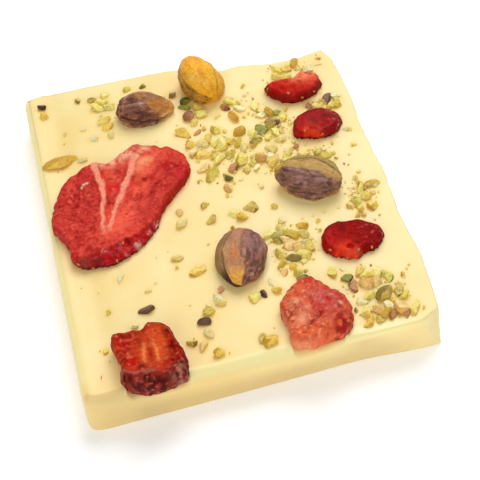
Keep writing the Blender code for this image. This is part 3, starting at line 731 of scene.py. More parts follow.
def paint_large_slice(place, edge):
    """Cut face with two veins round the core, a darker lobe on each side and skin along the front."""
    plan = place[:, :2]
    x, y = plan.T
    bent = plan + 0.3 * np.column_stack([grain(place, 2.2, 50), grain(place, 2.2, 51)])
    patch = patch_shares(bent, LARGE_SLICE_PATCHES)
    mark = patch_shares(plan, LARGE_SLICE_MARKS)
    arm = bent - SLICE_CORE
    reach = np.linalg.norm(arm, axis=1)
    fan = np.arctan2(arm[:, 0], arm[:, 1])
    fibre = grain(np.column_stack([fan * 11, reach * 0.3]), 1.0, 4) * step_up(reach, 2.0, 6.0)
    mottle, blob, cloud = grain(place, 1.5, 5), grain(place, 0.8, 6), grain(place, 3.0, 7)
    crest = ridges(place, 1.9, 60)
    vein_x, vein_y = np.array(LEFT_VEIN[::-1]).T
    left = step_up(np.interp(y, vein_y, vein_x) - x, -0.6, 0.8)
    streaks = mark["streaked"] * step_up(-fibre - 0.4 * blob, 0.1, 0.5)
    depth = 0.42 * step_up(mottle + 0.7 * cloud, 0.0, 0.8) + 0.75 * streaks
    specks = step_up(blob - 0.3 * cloud, 0.1, 0.6) * (1 - mark["core"])
    glints = step_up(grain(place, 0.75, 8), 0.42, 0.8) * step_up(mottle + cloud, -0.6, 0.4)
    bubble_ring = np.exp(-((np.linalg.norm(plan - BUBBLE, axis=1) - 1.35) / 0.38) ** 2)
    veins = np.minimum(line_distance(bent, LEFT_VEIN), line_distance(bent, RIGHT_VEIN))
    width = 0.26 + 0.26 * step_up(y, 46, 60) + 0.1 * mottle
    vein = (1 - step_up(veins, width - 0.15, width + 0.45)) * step_up(y, 40.4, 43.4)
    beside_vein = np.exp(-((veins - 1.15) / 0.4) ** 2) * step_up(y, 49, 53)
    skin = step_up(np.interp(x, *zip(*SKIN_LINE)) - y + 0.6 * grain(place, 1.6, 9), -0.2, 0.5)
    rind = layered(CRIMSON, [
        (MAROON, 0.75 * step_up(blob + 0.5 * cloud, 0.05, 0.55)),
        (SKIN_ROSE, 0.8 * step_up(grain(place, 0.9, 41), 0.2, 0.7)),
        (SKIN_BROWN, mark["brown"]),
        (MAROON * 0.8, 0.8 * step_up(edge, 1.12, 1.28) + mark["foot"]),
        # Painted glints on the skin.
        (PAINTED_SKIN_GLINT, mark["painted skin glints"] * step_up(blob, -0.5, 0.2)),
    ])
    colours = layered(FLESH, [
        (LOBE_RED, 0.95 * left + np.clip(mark["right lobe"], 0, 0.85)),
        (ROSE, 0.5 * step_up(fibre + 0.6 * cloud + 0.4 * blob, -0.1, 0.7)),
        (ROSE, patch["rose"]),
        (CORAL, patch["coral"] * step_up(fibre + 0.6 * mottle, -1.1, 0.1)),
        (BURNT_ORANGE, patch["orange"]),
        (WARM_PINK, patch["fan light"] * step_up(fibre + 0.5 * blob, -0.4, 0.4)),
        (DEEP_RED, depth * (1 - 0.7 * np.clip(patch["coral"], 0, 1))),
        (DEEP_RED * 0.85, (0.5 + 0.3 * left) * specks),
        (DEEP_RED * 0.62, patch["pits"] * step_up(blob, -0.9, 0.1)),
        (SIGNAL_RED, patch["signal red"]),
        (CHERRY, patch["cherry"]),
        (CORAL, 0.6 * glints),
        (PALE_PINK, 0.9 * patch["top edge"] * step_up(mottle + 0.5 * blob, -0.8, 0.1)),
        (PEACH, patch["peach"]),
        (ROSE, patch["back rose"]),
        (DEEP_RED * 0.7, 0.75 * bubble_ring * step_up(60 - y, 6, 9)),
        (CORAL, mark["bubble light"]),
        (DEEP_RED, 0.35 * beside_vein),
        (VEIN, 0.95 * vein * (0.8 + 0.2 * step_up(blob, -0.5, 0.3))),
        (DUST, 1.5 * mark["flake"]),
        (rind, skin),
        (DEEP_RED * 0.8, 0.7 * (1 - skin) * step_up(edge, 1.0, 1.15)),
        (STALK_BROWN, mark["stalk"] * step_up(edge, 0.97, 1.02)),
    ])
    relief = 0.16 * mottle + 0.14 * fibre + 0.12 * crest - 0.3 * np.clip(patch["pits"], 0, 1) + 0.09 * blob
    relief += 0.16 * vein + 0.42 * grain(place, 7.0, 10) + 0.24 * cloud
    relief += 0.3 * mark["bubble"] + 0.28 * np.clip(mark["flake"], 0, 1)
    relief -= 0.8 * skin * step_up(edge, 0.7, 1.0) - 0.3 * skin * mottle
    return colours, relief, skin


def paint_dark_chunk(place, edge):
    """Thick piece: streaked flesh round an orange core with an eye, dark skin on its front wall."""
    plan = place[:, :2]
    x, y = plan.T
    colour = shader_colours(DARK_CHUNK_COLOURS)
    patch = patch_shares(plan, DARK_CHUNK_PATCHES)
    front = np.interp(x, *zip(*DARK_CHUNK_FRONT))
    skin = step_up(front - y + 0.3 * grain(place, 1.2, 11), -0.25, 0.35)
    streak = grain(np.column_stack([x * 0.4, y * 1.7 + 0.3 * x]), 1.0, 12)
    mottle, blob = grain(place, 1.3, 13), grain(place, 0.7, 42)
    crest = ridges(place, 1.4, 64)
    strokes = np.minimum(*[line_distance(plan, line) for line in DARK_CHUNK_STROKES])
    strokes = np.exp(-((strokes + 0.1 * mottle) / 0.42) ** 2)
    eye = np.exp(-(((plan - EYE_PLACE) / EYE_REACH) ** 2).sum(axis=1))
    shade = 0.55 * step_up(mottle + 0.3 * blob, 0.1, 0.7) * (1 - patch["core"])
    shade += 0.75 * step_up(x, 17.8, 19.4) * step_up(blob, -0.9, 0.4)
    band = step_up(front + 1.1 - y, 0, 0.7) * step_up(16.4 - x, 0, 2.0)
    rind = layered(colour["rind"], [
        (colour["worn rind"], step_up(mottle, -0.2, 0.6)),
        # Painted glints and a painted highlight on the skin.
        (colour["painted rind glints"], 0.7 * step_up(grain(place, 0.8, 44), 0.3, 0.75)),
        (colour["painted rind highlight"], patch["painted rind highlight"] * step_up(blob, -0.4, 0.4)),
    ])
    colours = layered(colour["flesh"], [
        (colour["light streak"], 0.75 * step_up(streak, 0.0, 0.6) * step_up(13.6 - x, -1, 2)),
        (colour["dark streak"], 0.75 * step_up(-streak, 0.05, 0.5) * step_up(13.0 - x, -1, 2)),
        (EMBER, patch["ember"]),
        (colour["eye"], 0.85 * eye),
        (colour["strokes"], 0.85 * strokes),
        (colour["shade"], shade),
        (colour["scarlet"], patch["scarlet"]),
        (colour["hollow"], patch["hollow"]),
        (colour["glint"], 0.45 * step_up(grain(place, 0.75, 43), 0.45, 0.8) * (1 - patch["core"])),
        (colour["back rim"], 0.75 * step_up(edge, 0.93, 1.04) * step_up(y, 9, 12)),
        (colour["front band"], 0.7 * band),
        (rind, skin),
    ])
    relief = 0.16 * mottle + 0.16 * streak + 0.12 * crest - 0.35 * eye + 0.18 * strokes
    relief += 0.35 * grain(place, 4.0, 14) + 0.35 * step_up(edge, 0.8, 0.94) - 0.3 * skin
    return colours, relief, skin


def paint_dusty_chunk(place, edge):
    """Crumpled piece: salmon with a redder middle and right side, an orange foot and pale nut dust."""
    plan = place[:, :2]
    x, y = plan.T
    colour = shader_colours(DUSTY_CHUNK_COLOURS)
    patch = patch_shares(plan, DUSTY_CHUNK_PATCHES)
    fold = grain(np.column_stack([x * 1.2 + y * 0.5, y * 0.5, place[:, 2]]), 2.4, 15)
    mottle, blob = grain(place, 1.3, 16), grain(place, 0.75, 45)
    crest = ridges(place, 1.6, 68)
    glint = step_up(grain(place, 0.8, 46), 0.3, 0.75) * step_up(52.0 - x, 0, 6)
    dust = step_up(grain(place, 0.9, 17), 0.3, 0.7) * (patch["dusty"] + 0.05)
    colours = layered(SALMON, [
        (colour["fold"], 0.7 * step_up(fold + 0.4 * mottle, 0.0, 0.6)),
        (colour["back"], patch["back"]),
        (colour["middle"], patch["middle"]),
        (colour["red"], patch["red"] * step_up(mottle + 0.5 * blob, -1.0, 0.2)),
        (colour["pale"], patch["pale"]),
        (colour["orange"], patch["orange"]),
        (colour["pit"], patch["pits"] * step_up(blob, -0.9, 0.2)),
        (colour["fleck"], 0.5 * step_up(blob + 0.5 * fold, 0.25, 0.7)),
        (colour["veil"], patch["veil"] * step_up(mottle - 0.4 * blob, -0.5, 0.5)),
        (colour["glint"], 0.65 * glint),
        (colour["dust"], 0.4 * dust + patch["dust"]),
        (colour["left rim"], 0.7 * step_up(edge, 1.0, 1.15) * step_up(48 - x, 0, 4)),
    ])
    relief = 0.45 * fold + 0.22 * mottle + 0.16 * crest + 0.35 * grain(place, 3.6, 18)
    relief -= 0.25 * np.clip(patch["pits"], 0, 1)
    return colours, relief, step_up(x, 51, 54) * step_up(edge, 0.7, 1.0)


def paint_small_slice(place, edge):
    """A small slice with skin round it: deep red, with an orange heart low on its face and painted shadow
    towards its back.
    """
    plan = place[:, :2] - place[edge < 0.02, :2].mean(axis=0)
    x, y = plan.T
    colour = shader_colours(SMALL_SLICE_COLOURS)
    patch = patch_shares(plan, SMALL_SLICE_PATCHES)
    mottle, blob = grain(place, 1.4, 20), grain(place, 0.8, 47)
    right = step_up(x, 0.5, 4.5)
    off_heart = 1 - np.clip(patch["heart"], 0, 1)
    colours = layered(colour["flesh"], [
        (colour["heart"], 0.9 * patch["heart"] * step_up(mottle + 0.4 * blob, -1.1, 0.0)),
        (colour["heart light"], patch["heart light"]),
        (colour["left"], 0.7 * step_up(-x, 1.5, 4.5) * step_up(blob, -0.7, 0.4)),
        (colour["shade"], 0.6 * step_up(mottle, 0.0, 0.8) * off_heart),
        # Darker to the right and towards the back: the slice's own deep red on the right, and painted shadow
        # towards the back.
        (colour["right"], 0.4 * right + 0.5 * step_up(y, 2.0, 4.2)),
        (colour["glint"], 0.7 * step_up(grain(place, 0.65, 48), 0.4, 0.75) * right),
        (colour["rim"], 0.5 * step_up(edge, 0.93, 1.0) * off_heart),
        (colour["foot"], 0.85 * step_up(edge + 0.04 * blob, 1.17, 1.28)),
    ])
    relief = 0.1 * mottle + 0.05 * blob + 0.3 * grain(place, 3.4, 21) + 0.12 * step_up(edge, 0.75, 0.92)
    return colours, relief, step_up(edge, 0.8, 0.95)


def paint_back_slice(place, edge):
    """Deep red piece with a darker border and a brighter coral arm to its back right."""
    colour = shader_colours(BACK_SLICE_COLOURS)
    patch = patch_shares(place[:, :2], BACK_SLICE_PATCHES)
    mottle, blob = grain(place, 1.4, 22), grain(place, 0.8, 49)
    crest = ridges(place, 1.6, 76)
    colours = layered(colour["flesh"], [
        (colour["light"], 0.6 * step_up(mottle + 0.5 * blob, -0.1, 0.6)),
        (colour["arm"], patch["arm"]),
        (DEEP_RED * 0.8, 0.5 * step_up(-mottle - 0.4 * blob, 0.1, 0.6)),
        (DEEP_RED, patch["shade"]),
        (MAROON, 0.7 * step_up(edge, 0.98, 1.12)),
    ])
    relief = 0.16 * mottle + 0.12 * crest + 0.4 * grain(place, 3.2, 23)
    return colours, relief, step_up(edge, 0.8, 1.0)


def strawberry_finish(name, roughness, specular):
    """Freeze-dried flesh: painted colour broken up by pores, dull, and glossier on the skin."""
    finish, shader, place = new_finish(name, roughness, specular)
    fine = noise_node(finish, place, 0.5, 4.0, 0.65)
    shade = spread(finish, fine, 0.32, 0.7, 0.8, 1.18)
    shade = shader_node(finish, "ShaderNodeCombineColor", {"Red": shade, "Green": shade, "Blue": shade})
    colour = blended(finish, 1.0, attribute(finish, "paint", "Color"), shade.outputs["Color"], "MULTIPLY")
    rough = spread(finish, attribute(finish, "skin"), 0.0, 1.0, roughness, SKIN_ROUGHNESS)
    connect(finish, shader, base_color=colour, roughness=rough)
    soften(shader, 0.1, (1.0, 0.2, 0.12), 0.4)
    cells = shader_node(finish, "ShaderNodeTexVoronoi", {"Vector": place, "Scale": 1 / (0.7 * MM)})
    relief = product(finish, product(finish, cells.outputs["Distance"], 0.6), fine, "ADD")
    bump(finish, shader, relief, 0.18, 0.9)
    return finish


def ringed_faces(points, rings, first_pole, last_pole):
    """Faces over a stack of rings of points, closed at each end by a fan of triangles to a pole."""
    faces = []
    for low in range(0, (rings - 1) * points, points):
        for index in range(points):
            after = (index + 1) % points
            faces.append((low + index, low + after, low + points + after, low + points + index))
    last = (rings - 1) * points
    for index in range(points):
        after = (index + 1) % points
        faces.append((last + index, last + after, last_pole))
        faces.append((after, index, first_pole))
    return faces


def strawberry_piece(name, corners, painter, finish, height, sink, crown, points=220,
                     rings=46, droop=0.0):
    """A piece of strawberry over its plan outline, sunk in the slab, that stands for its solid."""
    outline = smooth_loop(corners[::-1], points)
    middle = outline.mean(axis=0)
    arms = outline - middle
    lengths = np.linalg.norm(arms, axis=1)
    ragged = 0.26 * grain(outline, 1.7, 24) + 0.2 * grain(outline, 0.8, 25)
    shares, insets = zip(*SIDE_SHAPE)
    plan, edges, levels = [], [], []
    for share in np.linspace(0, 1, SIDE_LEVELS):
        inset = np.interp(share, shares, insets)
        reach = 1 - (inset - ragged * math.sin(math.pi * min(share + 0.15, 1))) / lengths
        plan.append(middle + arms * reach[:, None])
        edges.append(np.full(points, 1 + (EDGE_AT_FOOT - 1) * (1 - share)))
        levels.append(np.full(points, share * (height + sink) - sink))
        if share < 0.5:
            levels[-1] -= droop * (1 - share) * (outline[:, 1] < DROOP_END)
    for share in np.linspace(1, 0, rings + 1)[1:-1]:
        reach = share * (1 - RIM_TURN / lengths)
        plan.append(middle + arms * reach[:, None])
        edges.append(np.full(points, share))
        dome = crown * step_up(np.array([1 - share]), 0, CROWN_START)[0]
        levels.append(np.full(points, height + dome))
    faces = ringed_faces(points, len(plan), len(plan) * points + 1, len(plan) * points)
    plan = np.vstack(plan + [middle[None], middle[None]])
    edge = np.concatenate(edges + [[0.0], [EDGE_AT_FOOT]])
    level_values = np.concatenate(levels + [[height + crown], [-sink]])
    colours, relief, skin = painter(np.column_stack([plan, level_values]), edge)
    on_top = step_up(level_values / height, 0.3, 0.9)
    surface = np.column_stack([plan, THICKNESS + level_values + relief * on_top])
    wrinkle = 0.2 * grain(surface, 1.2, 26) * step_up(edge, 0.98, 1.1) * (edge < EDGE_AT_FOOT - 0.01)
    outward = (plan - middle) / np.maximum(np.linalg.norm(plan - middle, axis=1), 0.1)[:, None]
    surface[:, :2] += outward * wrinkle[:, None]
    piece = mesh_piece(f"dried_{name}", surface, faces, finish)
    paint(piece, "paint", colours)
    paint(piece, "skin", skin)
    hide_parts(name)
    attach(piece, "root")
    return piece


dull_flesh = strawberry_finish("dried_strawberry", 0.5, 0.12)
glossy_flesh = strawberry_finish("dried_strawberry_skin", 0.46, 0.05)
berry_pieces = [
    strawberry_piece("strawberry_slice_left", LARGE_SLICE, paint_large_slice, dull_flesh,
                     height=2.7, sink=1.0, crown=0.2, points=440, rings=96),
    strawberry_piece("strawberry_chunk_front_left", DARK_CHUNK, paint_dark_chunk, glossy_flesh,
                     height=4.2, sink=1.3, crown=-0.3, points=260, rings=56, droop=0.3),
    strawberry_piece("strawberry_chunk_front_right", DUSTY_CHUNK, paint_dusty_chunk, dull_flesh,
                     height=3.1, sink=1.3, crown=0.9, points=260, rings=56),
    strawberry_piece("strawberry_slice_right", ROUND_SLICE, paint_small_slice, glossy_flesh,
                     height=2.3, sink=1.2, crown=0.3),
    strawberry_piece("strawberry_slice_back", BACK_SLICE, paint_back_slice, glossy_flesh,
                     height=2.8, sink=1.2, crown=0.4),
    strawberry_piece("strawberry_slice_centre", CENTRE_SLICE, paint_small_slice, dull_flesh,
                     height=2.4, sink=1.2, crown=0.5),
]

# Whole pistachio kernels
# Two seed halves in one egg shape, with a cleft between them and papery purple-brown skin that
# has rubbed off to tan and olive in places. They were pressed in whole by hand.
KERNEL_ROUND = 168
KERNEL_RINGS = 110
UNDERSIDE = 262
SPOT_DEGREES = 70
PAINTED_KERNEL_GLINT = (236, 200, 166)
# Turns round a kernel are in degrees, and places along it run from -1 at its broad end to 1. Spots
# are given as place along, turn, reach, colour and strength.
COMMON_LOOK = {
    "slot": "kernel_brown", "cleft_twist": 0.0, "skin_turn": None, "skin_bow": 0, "skin_soft": 2,
    "skin_along": None, "skin_slant": 0.0, "tip_over": 0.8, "sliver_end": 0.0, "spots": [],
}
KERNELS = {
    "pistachio_front": {
        "place": (37.5, 26.3), "size": (10.9, 14.8, 8.0), "turn": (-4, 8, 166),
        "face": (194, 143, 104), "skin": (156, 106, 90), "sliver": (156, 120, 74), "tip": (240, 180, 78),
        "glint": (206, 166, 152), "cleft": 34, "cleft_twist": 0.2, "skin_turn": (102, 262), "skin_bow": 30,
        "skin_soft": 11, "tip_along": 0.45, "tip_reach": 0.45, "tip_over": 0.0, "sliver_end": 1.0,
        "veins": 0.5, "stripes": 0.15, "spots": [
            (-0.55, 92, 0.35, (200, 132, 104), 0.8), (0.25, 84, 0.28, (220, 136, 82), 0.8),
            (0.1, 56, 0.25, (214, 170, 116), 0.7), (-0.35, 128, 0.22, (128, 66, 78), 0.7),
            (0.15, 150, 0.3, (176, 132, 124), 0.5), (0.3, 128, 0.2, (148, 84, 80), 0.6),
            (0.0, 24, 0.3, (150, 108, 60), 0.5), (-0.6, 40, 0.25, (122, 98, 60), 0.6),
        ],
    },
    "pistachio_back_left": {
        "place": (27.0, 79.9), "size": (9.0, 13.2, 7.4), "turn": (-4, 10, -100),
        "face": (192, 134, 68), "skin": (132, 80, 56), "sliver": (186, 150, 104), "tip": (226, 172, 92),
        "glint": (198, 150, 124), "cleft": 0, "cleft_twist": 0.15, "skin_along": -0.107,
        "skin_slant": 0.568, "tip_along": 0.6, "tip_reach": 0.3,
        "veins": 0.6, "stripes": 0.2, "spots": [
            # The first spot, light cream, and the fourth, pale pink, are painted highlights.
            (0.8, 18, 0.22, (240, 204, 140), 0.9), (0.5, 70, 0.25, (212, 144, 72), 0.8),
            (0.3, 112, 0.35, (124, 84, 46), 0.8), (-0.1, 78, 0.14, (214, 168, 146), 0.8),
            (-0.25, 50, 0.18, (80, 34, 28), 0.9), (0.0, 100, 0.22, (104, 58, 46), 0.8),
            (-0.55, -15, 0.25, (196, 142, 122), 0.7), (0.05, -25, 0.22, (166, 124, 106), 0.8),
            (-0.6, 60, 0.25, (146, 84, 72), 0.6),
        ],
    },
    "pistachio_back": {
        "place": (41.1, 84.6), "size": (9.9, 14.3, 9.0), "turn": (8, 14, 17), "slot": "kernel_gold",
        "face": (252, 184, 38), "skin": (188, 136, 44), "sliver": (238, 182, 58), "tip": (232, 166, 44),
        "glint": (224, 176, 70), "cleft": 60, "skin_turn": (166, 232), "skin_soft": 6,
        "tip_along": 0.9, "tip_reach": 0.12, "veins": 0.15, "stripes": 0.6, "spots": [
            (0.45, 108, 0.3, (250, 172, 34), 0.7), (-0.3, 138, 0.22, (248, 204, 104), 0.7),
            (0.3, 186, 0.35, (186, 138, 56), 0.6), (-0.7, 110, 0.25, (246, 198, 88), 0.6),
            (-0.2, 60, 0.3, (236, 186, 76), 0.5),
        ],
    },
    "pistachio_right": {
        "place": (56.6, 44.6), "size": (10.0, 15.0, 8.2), "turn": (3, -12, 58),
        "face": (196, 156, 88), "skin": (142, 100, 88), "sliver": (164, 142, 80), "tip": (222, 176, 74),
        "glint": (190, 146, 140), "cleft": 55, "skin_turn": (100, 196), "skin_bow": 10, "skin_soft": 4,
        "tip_along": 0.75, "tip_reach": 0.12, "veins": 0.6, "stripes": 0.2,
    },
}


def kernel_finish(name):
    """Kernel surface: painted colours, fine freckles, painted pale glints on the skin and a dry gloss."""
    finish, shader, place = new_finish(name, 0.5, 0.25)
    freckle = spread(finish, noise_node(finish, place, 0.5, 4.0, 0.7), 0.32, 0.7)
    tone = blended(finish, freckle, (0.76, 0.72, 0.7), (1.22, 1.22, 1.24))
    colour = blended(finish, 1.0, attribute(finish, "paint", "Color"), tone, "MULTIPLY")
    # Painted glints on the skin.
    skin_glints = spread(finish, noise_node(finish, place, 0.4, 5.0, 0.75), 0.6, 0.68)
    skin_glints = product(finish, product(finish, skin_glints, 0.85), attribute(finish, "skin"))
    connect(finish, shader, base_color=blended(finish, skin_glints, colour, linear(*PAINTED_KERNEL_GLINT)))
    soften(shader, 0.08, (1.0, 0.6, 0.3), 0.5)
    bump(finish, shader, noise_node(finish, place, 0.45, 4.0, 0.65), 0.2, 0.8)
    return finish


def kernel_skin(look, along, angle, blotch, fleck):
    """Where the skin still clings: between two turns, or up to a slanting border along the kernel."""
    degrees = np.degrees(angle) + 9 * blotch + 5 * fleck
    skin = np.zeros(len(along))
    if look["skin_turn"]:
        first, last = look["skin_turn"]
        soft = look["skin_soft"]
        skin = step_up(degrees - first - look["skin_bow"] * along ** 2, -soft, soft)
        skin *= step_up(last - degrees, -2, 2)
    if look["skin_along"] is not None:
        border = look["skin_along"] + look["skin_slant"] * np.cos(angle) - along
        skin = np.maximum(skin, step_up(border + 0.12 * blotch + 0.08 * fleck, -0.05, 0.06))
    return skin


def kernel_colours(look, points, along, angle, cleft, crease, wrinkles, crest, seed):
    """Bare seed in stripes and blotches, the other half beyond the cleft, the tip, and the skin, with painted
    shade and highlights.
    """
    face, dark_skin = linear(*look["face"]), linear(*look["skin"])
    veins, stripe_strength, sliver_end = look["veins"], look["stripes"], look["sliver_end"]
    degrees = np.degrees(angle)
    blotch = grain(points, 2.3, seed)
    fleck = grain(points * (1.0, 0.6, 1.0), 0.8, seed + 1)
    ragged = 9 * blotch + 5 * fleck
    stripes = grain(np.column_stack([3.2 * np.cos(angle), 3.2 * np.sin(angle), 1.2 * along]), 1.0, seed + 2)
    beyond = step_up(np.degrees(cleft) - degrees + 0.2 * ragged, -1, 3) + (degrees > UNDERSIDE)
    under = sliver_end * np.clip(beyond, 0, 1)
    tip_start = look["tip_along"]
    tip = step_up(along + 0.08 * blotch + 0.04 * fleck, tip_start, tip_start + look["tip_reach"])
    skin = kernel_skin(look, along, angle, blotch, fleck)
    share = skin * (1 - look["tip_over"] * tip)
    # The skin: its own colour, with painted shade in its wrinkles, a painted highlight on its crests and
    # painted glints.
    skin_and_painted_light = layered(dark_skin, [
        (dark_skin * 0.5, step_up(-wrinkles - crest, -0.6, 0.2)),
        (dark_skin * 1.5, 0.6 * step_up(crest, 0.75, 1.0)),
        (linear(*look["glint"]), 0.55 * step_up(fleck + 0.5 * crest, 0.5, 0.95)),
    ])
    layers = [
        (face * (0.66, 0.56, 0.5), veins * step_up(blotch - 0.5 * crest, -0.3, 0.6)),
        (face * (0.74, 0.6, 0.4), stripe_strength * step_up(stripes, 0.05, 0.5)),
        (face * 1.25, 0.6 * stripe_strength * step_up(-stripes, 0.2, 0.6)),
        # A painted highlight on the crests of the bare seed.
        (face * 1.3, 0.5 * step_up(crest + 0.3 * fleck, 0.6, 1.1)),
        (linear(*look["sliver"]), beyond * (0.8 + 0.2 * fleck)),
        (linear(*look["tip"]), tip * (1 - under)),
        # Painted shade over the end of the half beyond the cleft.
        (dark_skin * 0.2, under * step_up(along, 0.35, 0.75)),
        (skin_and_painted_light, share),
    ]
    for spot_along, spot_turn, reach, colour, strength in look["spots"]:
        off_turn = (degrees - spot_turn + 180) % 360 - 180
        near = np.exp(-((along - spot_along) / reach) ** 2 - (off_turn / (SPOT_DEGREES * reach)) ** 2)
        layers.append((linear(*colour), strength * near * step_up(fleck + 0.5 * blotch, -1.2, 0.2)))
    layers.append((dark_skin * 0.35, 0.5 * 4 * share * (1 - share)))
    # The cleft darkened: a dark seam with painted shade in it.
    layers.append((dark_skin * 0.25, 0.85 * crease))
    return np.clip(layered(face, layers), 0, 1), skin


def kernel_piece(name, look, finish, seed):
    """A whole kernel with its cleft, wrinkles and rubbed skin, standing for its solid."""
    width, length, height = look["size"]
    angles = np.linspace(0, math.tau, KERNEL_ROUND, endpoint=False)
    lifts = np.linspace(-math.pi / 2, math.pi / 2, KERNEL_RINGS + 1)[1:-1]
    along, angle = (grid.ravel() for grid in np.meshgrid(np.sin(lifts), angles, indexing="ij"))
    along = np.append(along, (-1.0, 1.0))
    angle = np.append(angle, (0.0, 0.0))
    cleft = math.radians(look["cleft"]) + look["cleft_twist"] * (1 - along) ** 2
    apart = (angle - cleft + math.pi) % math.tau - math.pi
    crease = np.exp(-(apart / 0.06) ** 2) * step_up(0.97 - np.abs(along), 0, 0.15)
    reach = np.clip(1 - np.abs(along) ** 2.2, 0, 1) ** 0.6 * (1 - 0.13 * along)
    reach *= 1 - 0.08 * np.exp(-(apart / 0.15) ** 2) - 0.14 * crease + 0.055 * np.cos(3 * angle + 0.9)
    points = np.column_stack([
        np.cos(angle) * reach * width / 2, along * length / 2, np.sin(angle) * reach * height / 2,
    ])
    stretched = points * (1.0, 0.3, 1.0)
    wrinkles = grain(stretched, 0.9, seed + 1)
    crest = ridges(stretched, 1.1, seed + 2)
    folds = 0.3 * grain(points, 3.2, seed) + 0.12 * wrinkles + 0.23 * look["veins"] * crest - 0.12
    folds += 0.05 * grain(points, 0.5, seed + 3)
    points *= (1 + folds / np.maximum(np.linalg.norm(points, axis=1), 1.0))[:, None]
    colours, skin = kernel_colours(look, points, along, angle, cleft, crease, wrinkles, crest, seed + 4)

    turned = Euler([math.radians(value) for value in look["turn"]]).to_matrix()
    points = points @ np.array(turned).T
    _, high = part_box(name)
    points[:, 2] += high.z / MM - points[:, 2].max()
    points[:, :2] += look["place"]
    last = len(points) - 1
    faces = [face[:1] + face[:0:-1] for face in ringed_faces(KERNEL_ROUND, KERNEL_RINGS - 1, last - 1, last)]
    piece = mesh_piece(f"whole_{name}", points, faces, finish)
    paint(piece, "paint", colours)
    paint(piece, "skin", skin)
    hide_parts(name)
    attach(piece, "root")
    return piece


nut_skin = kernel_finish("pistachio_kernel")
for order, (name, look) in enumerate(KERNELS.items()):
    kernel_piece(name, {**COMMON_LOOK, **look}, nut_skin, 40 + 7 * order)

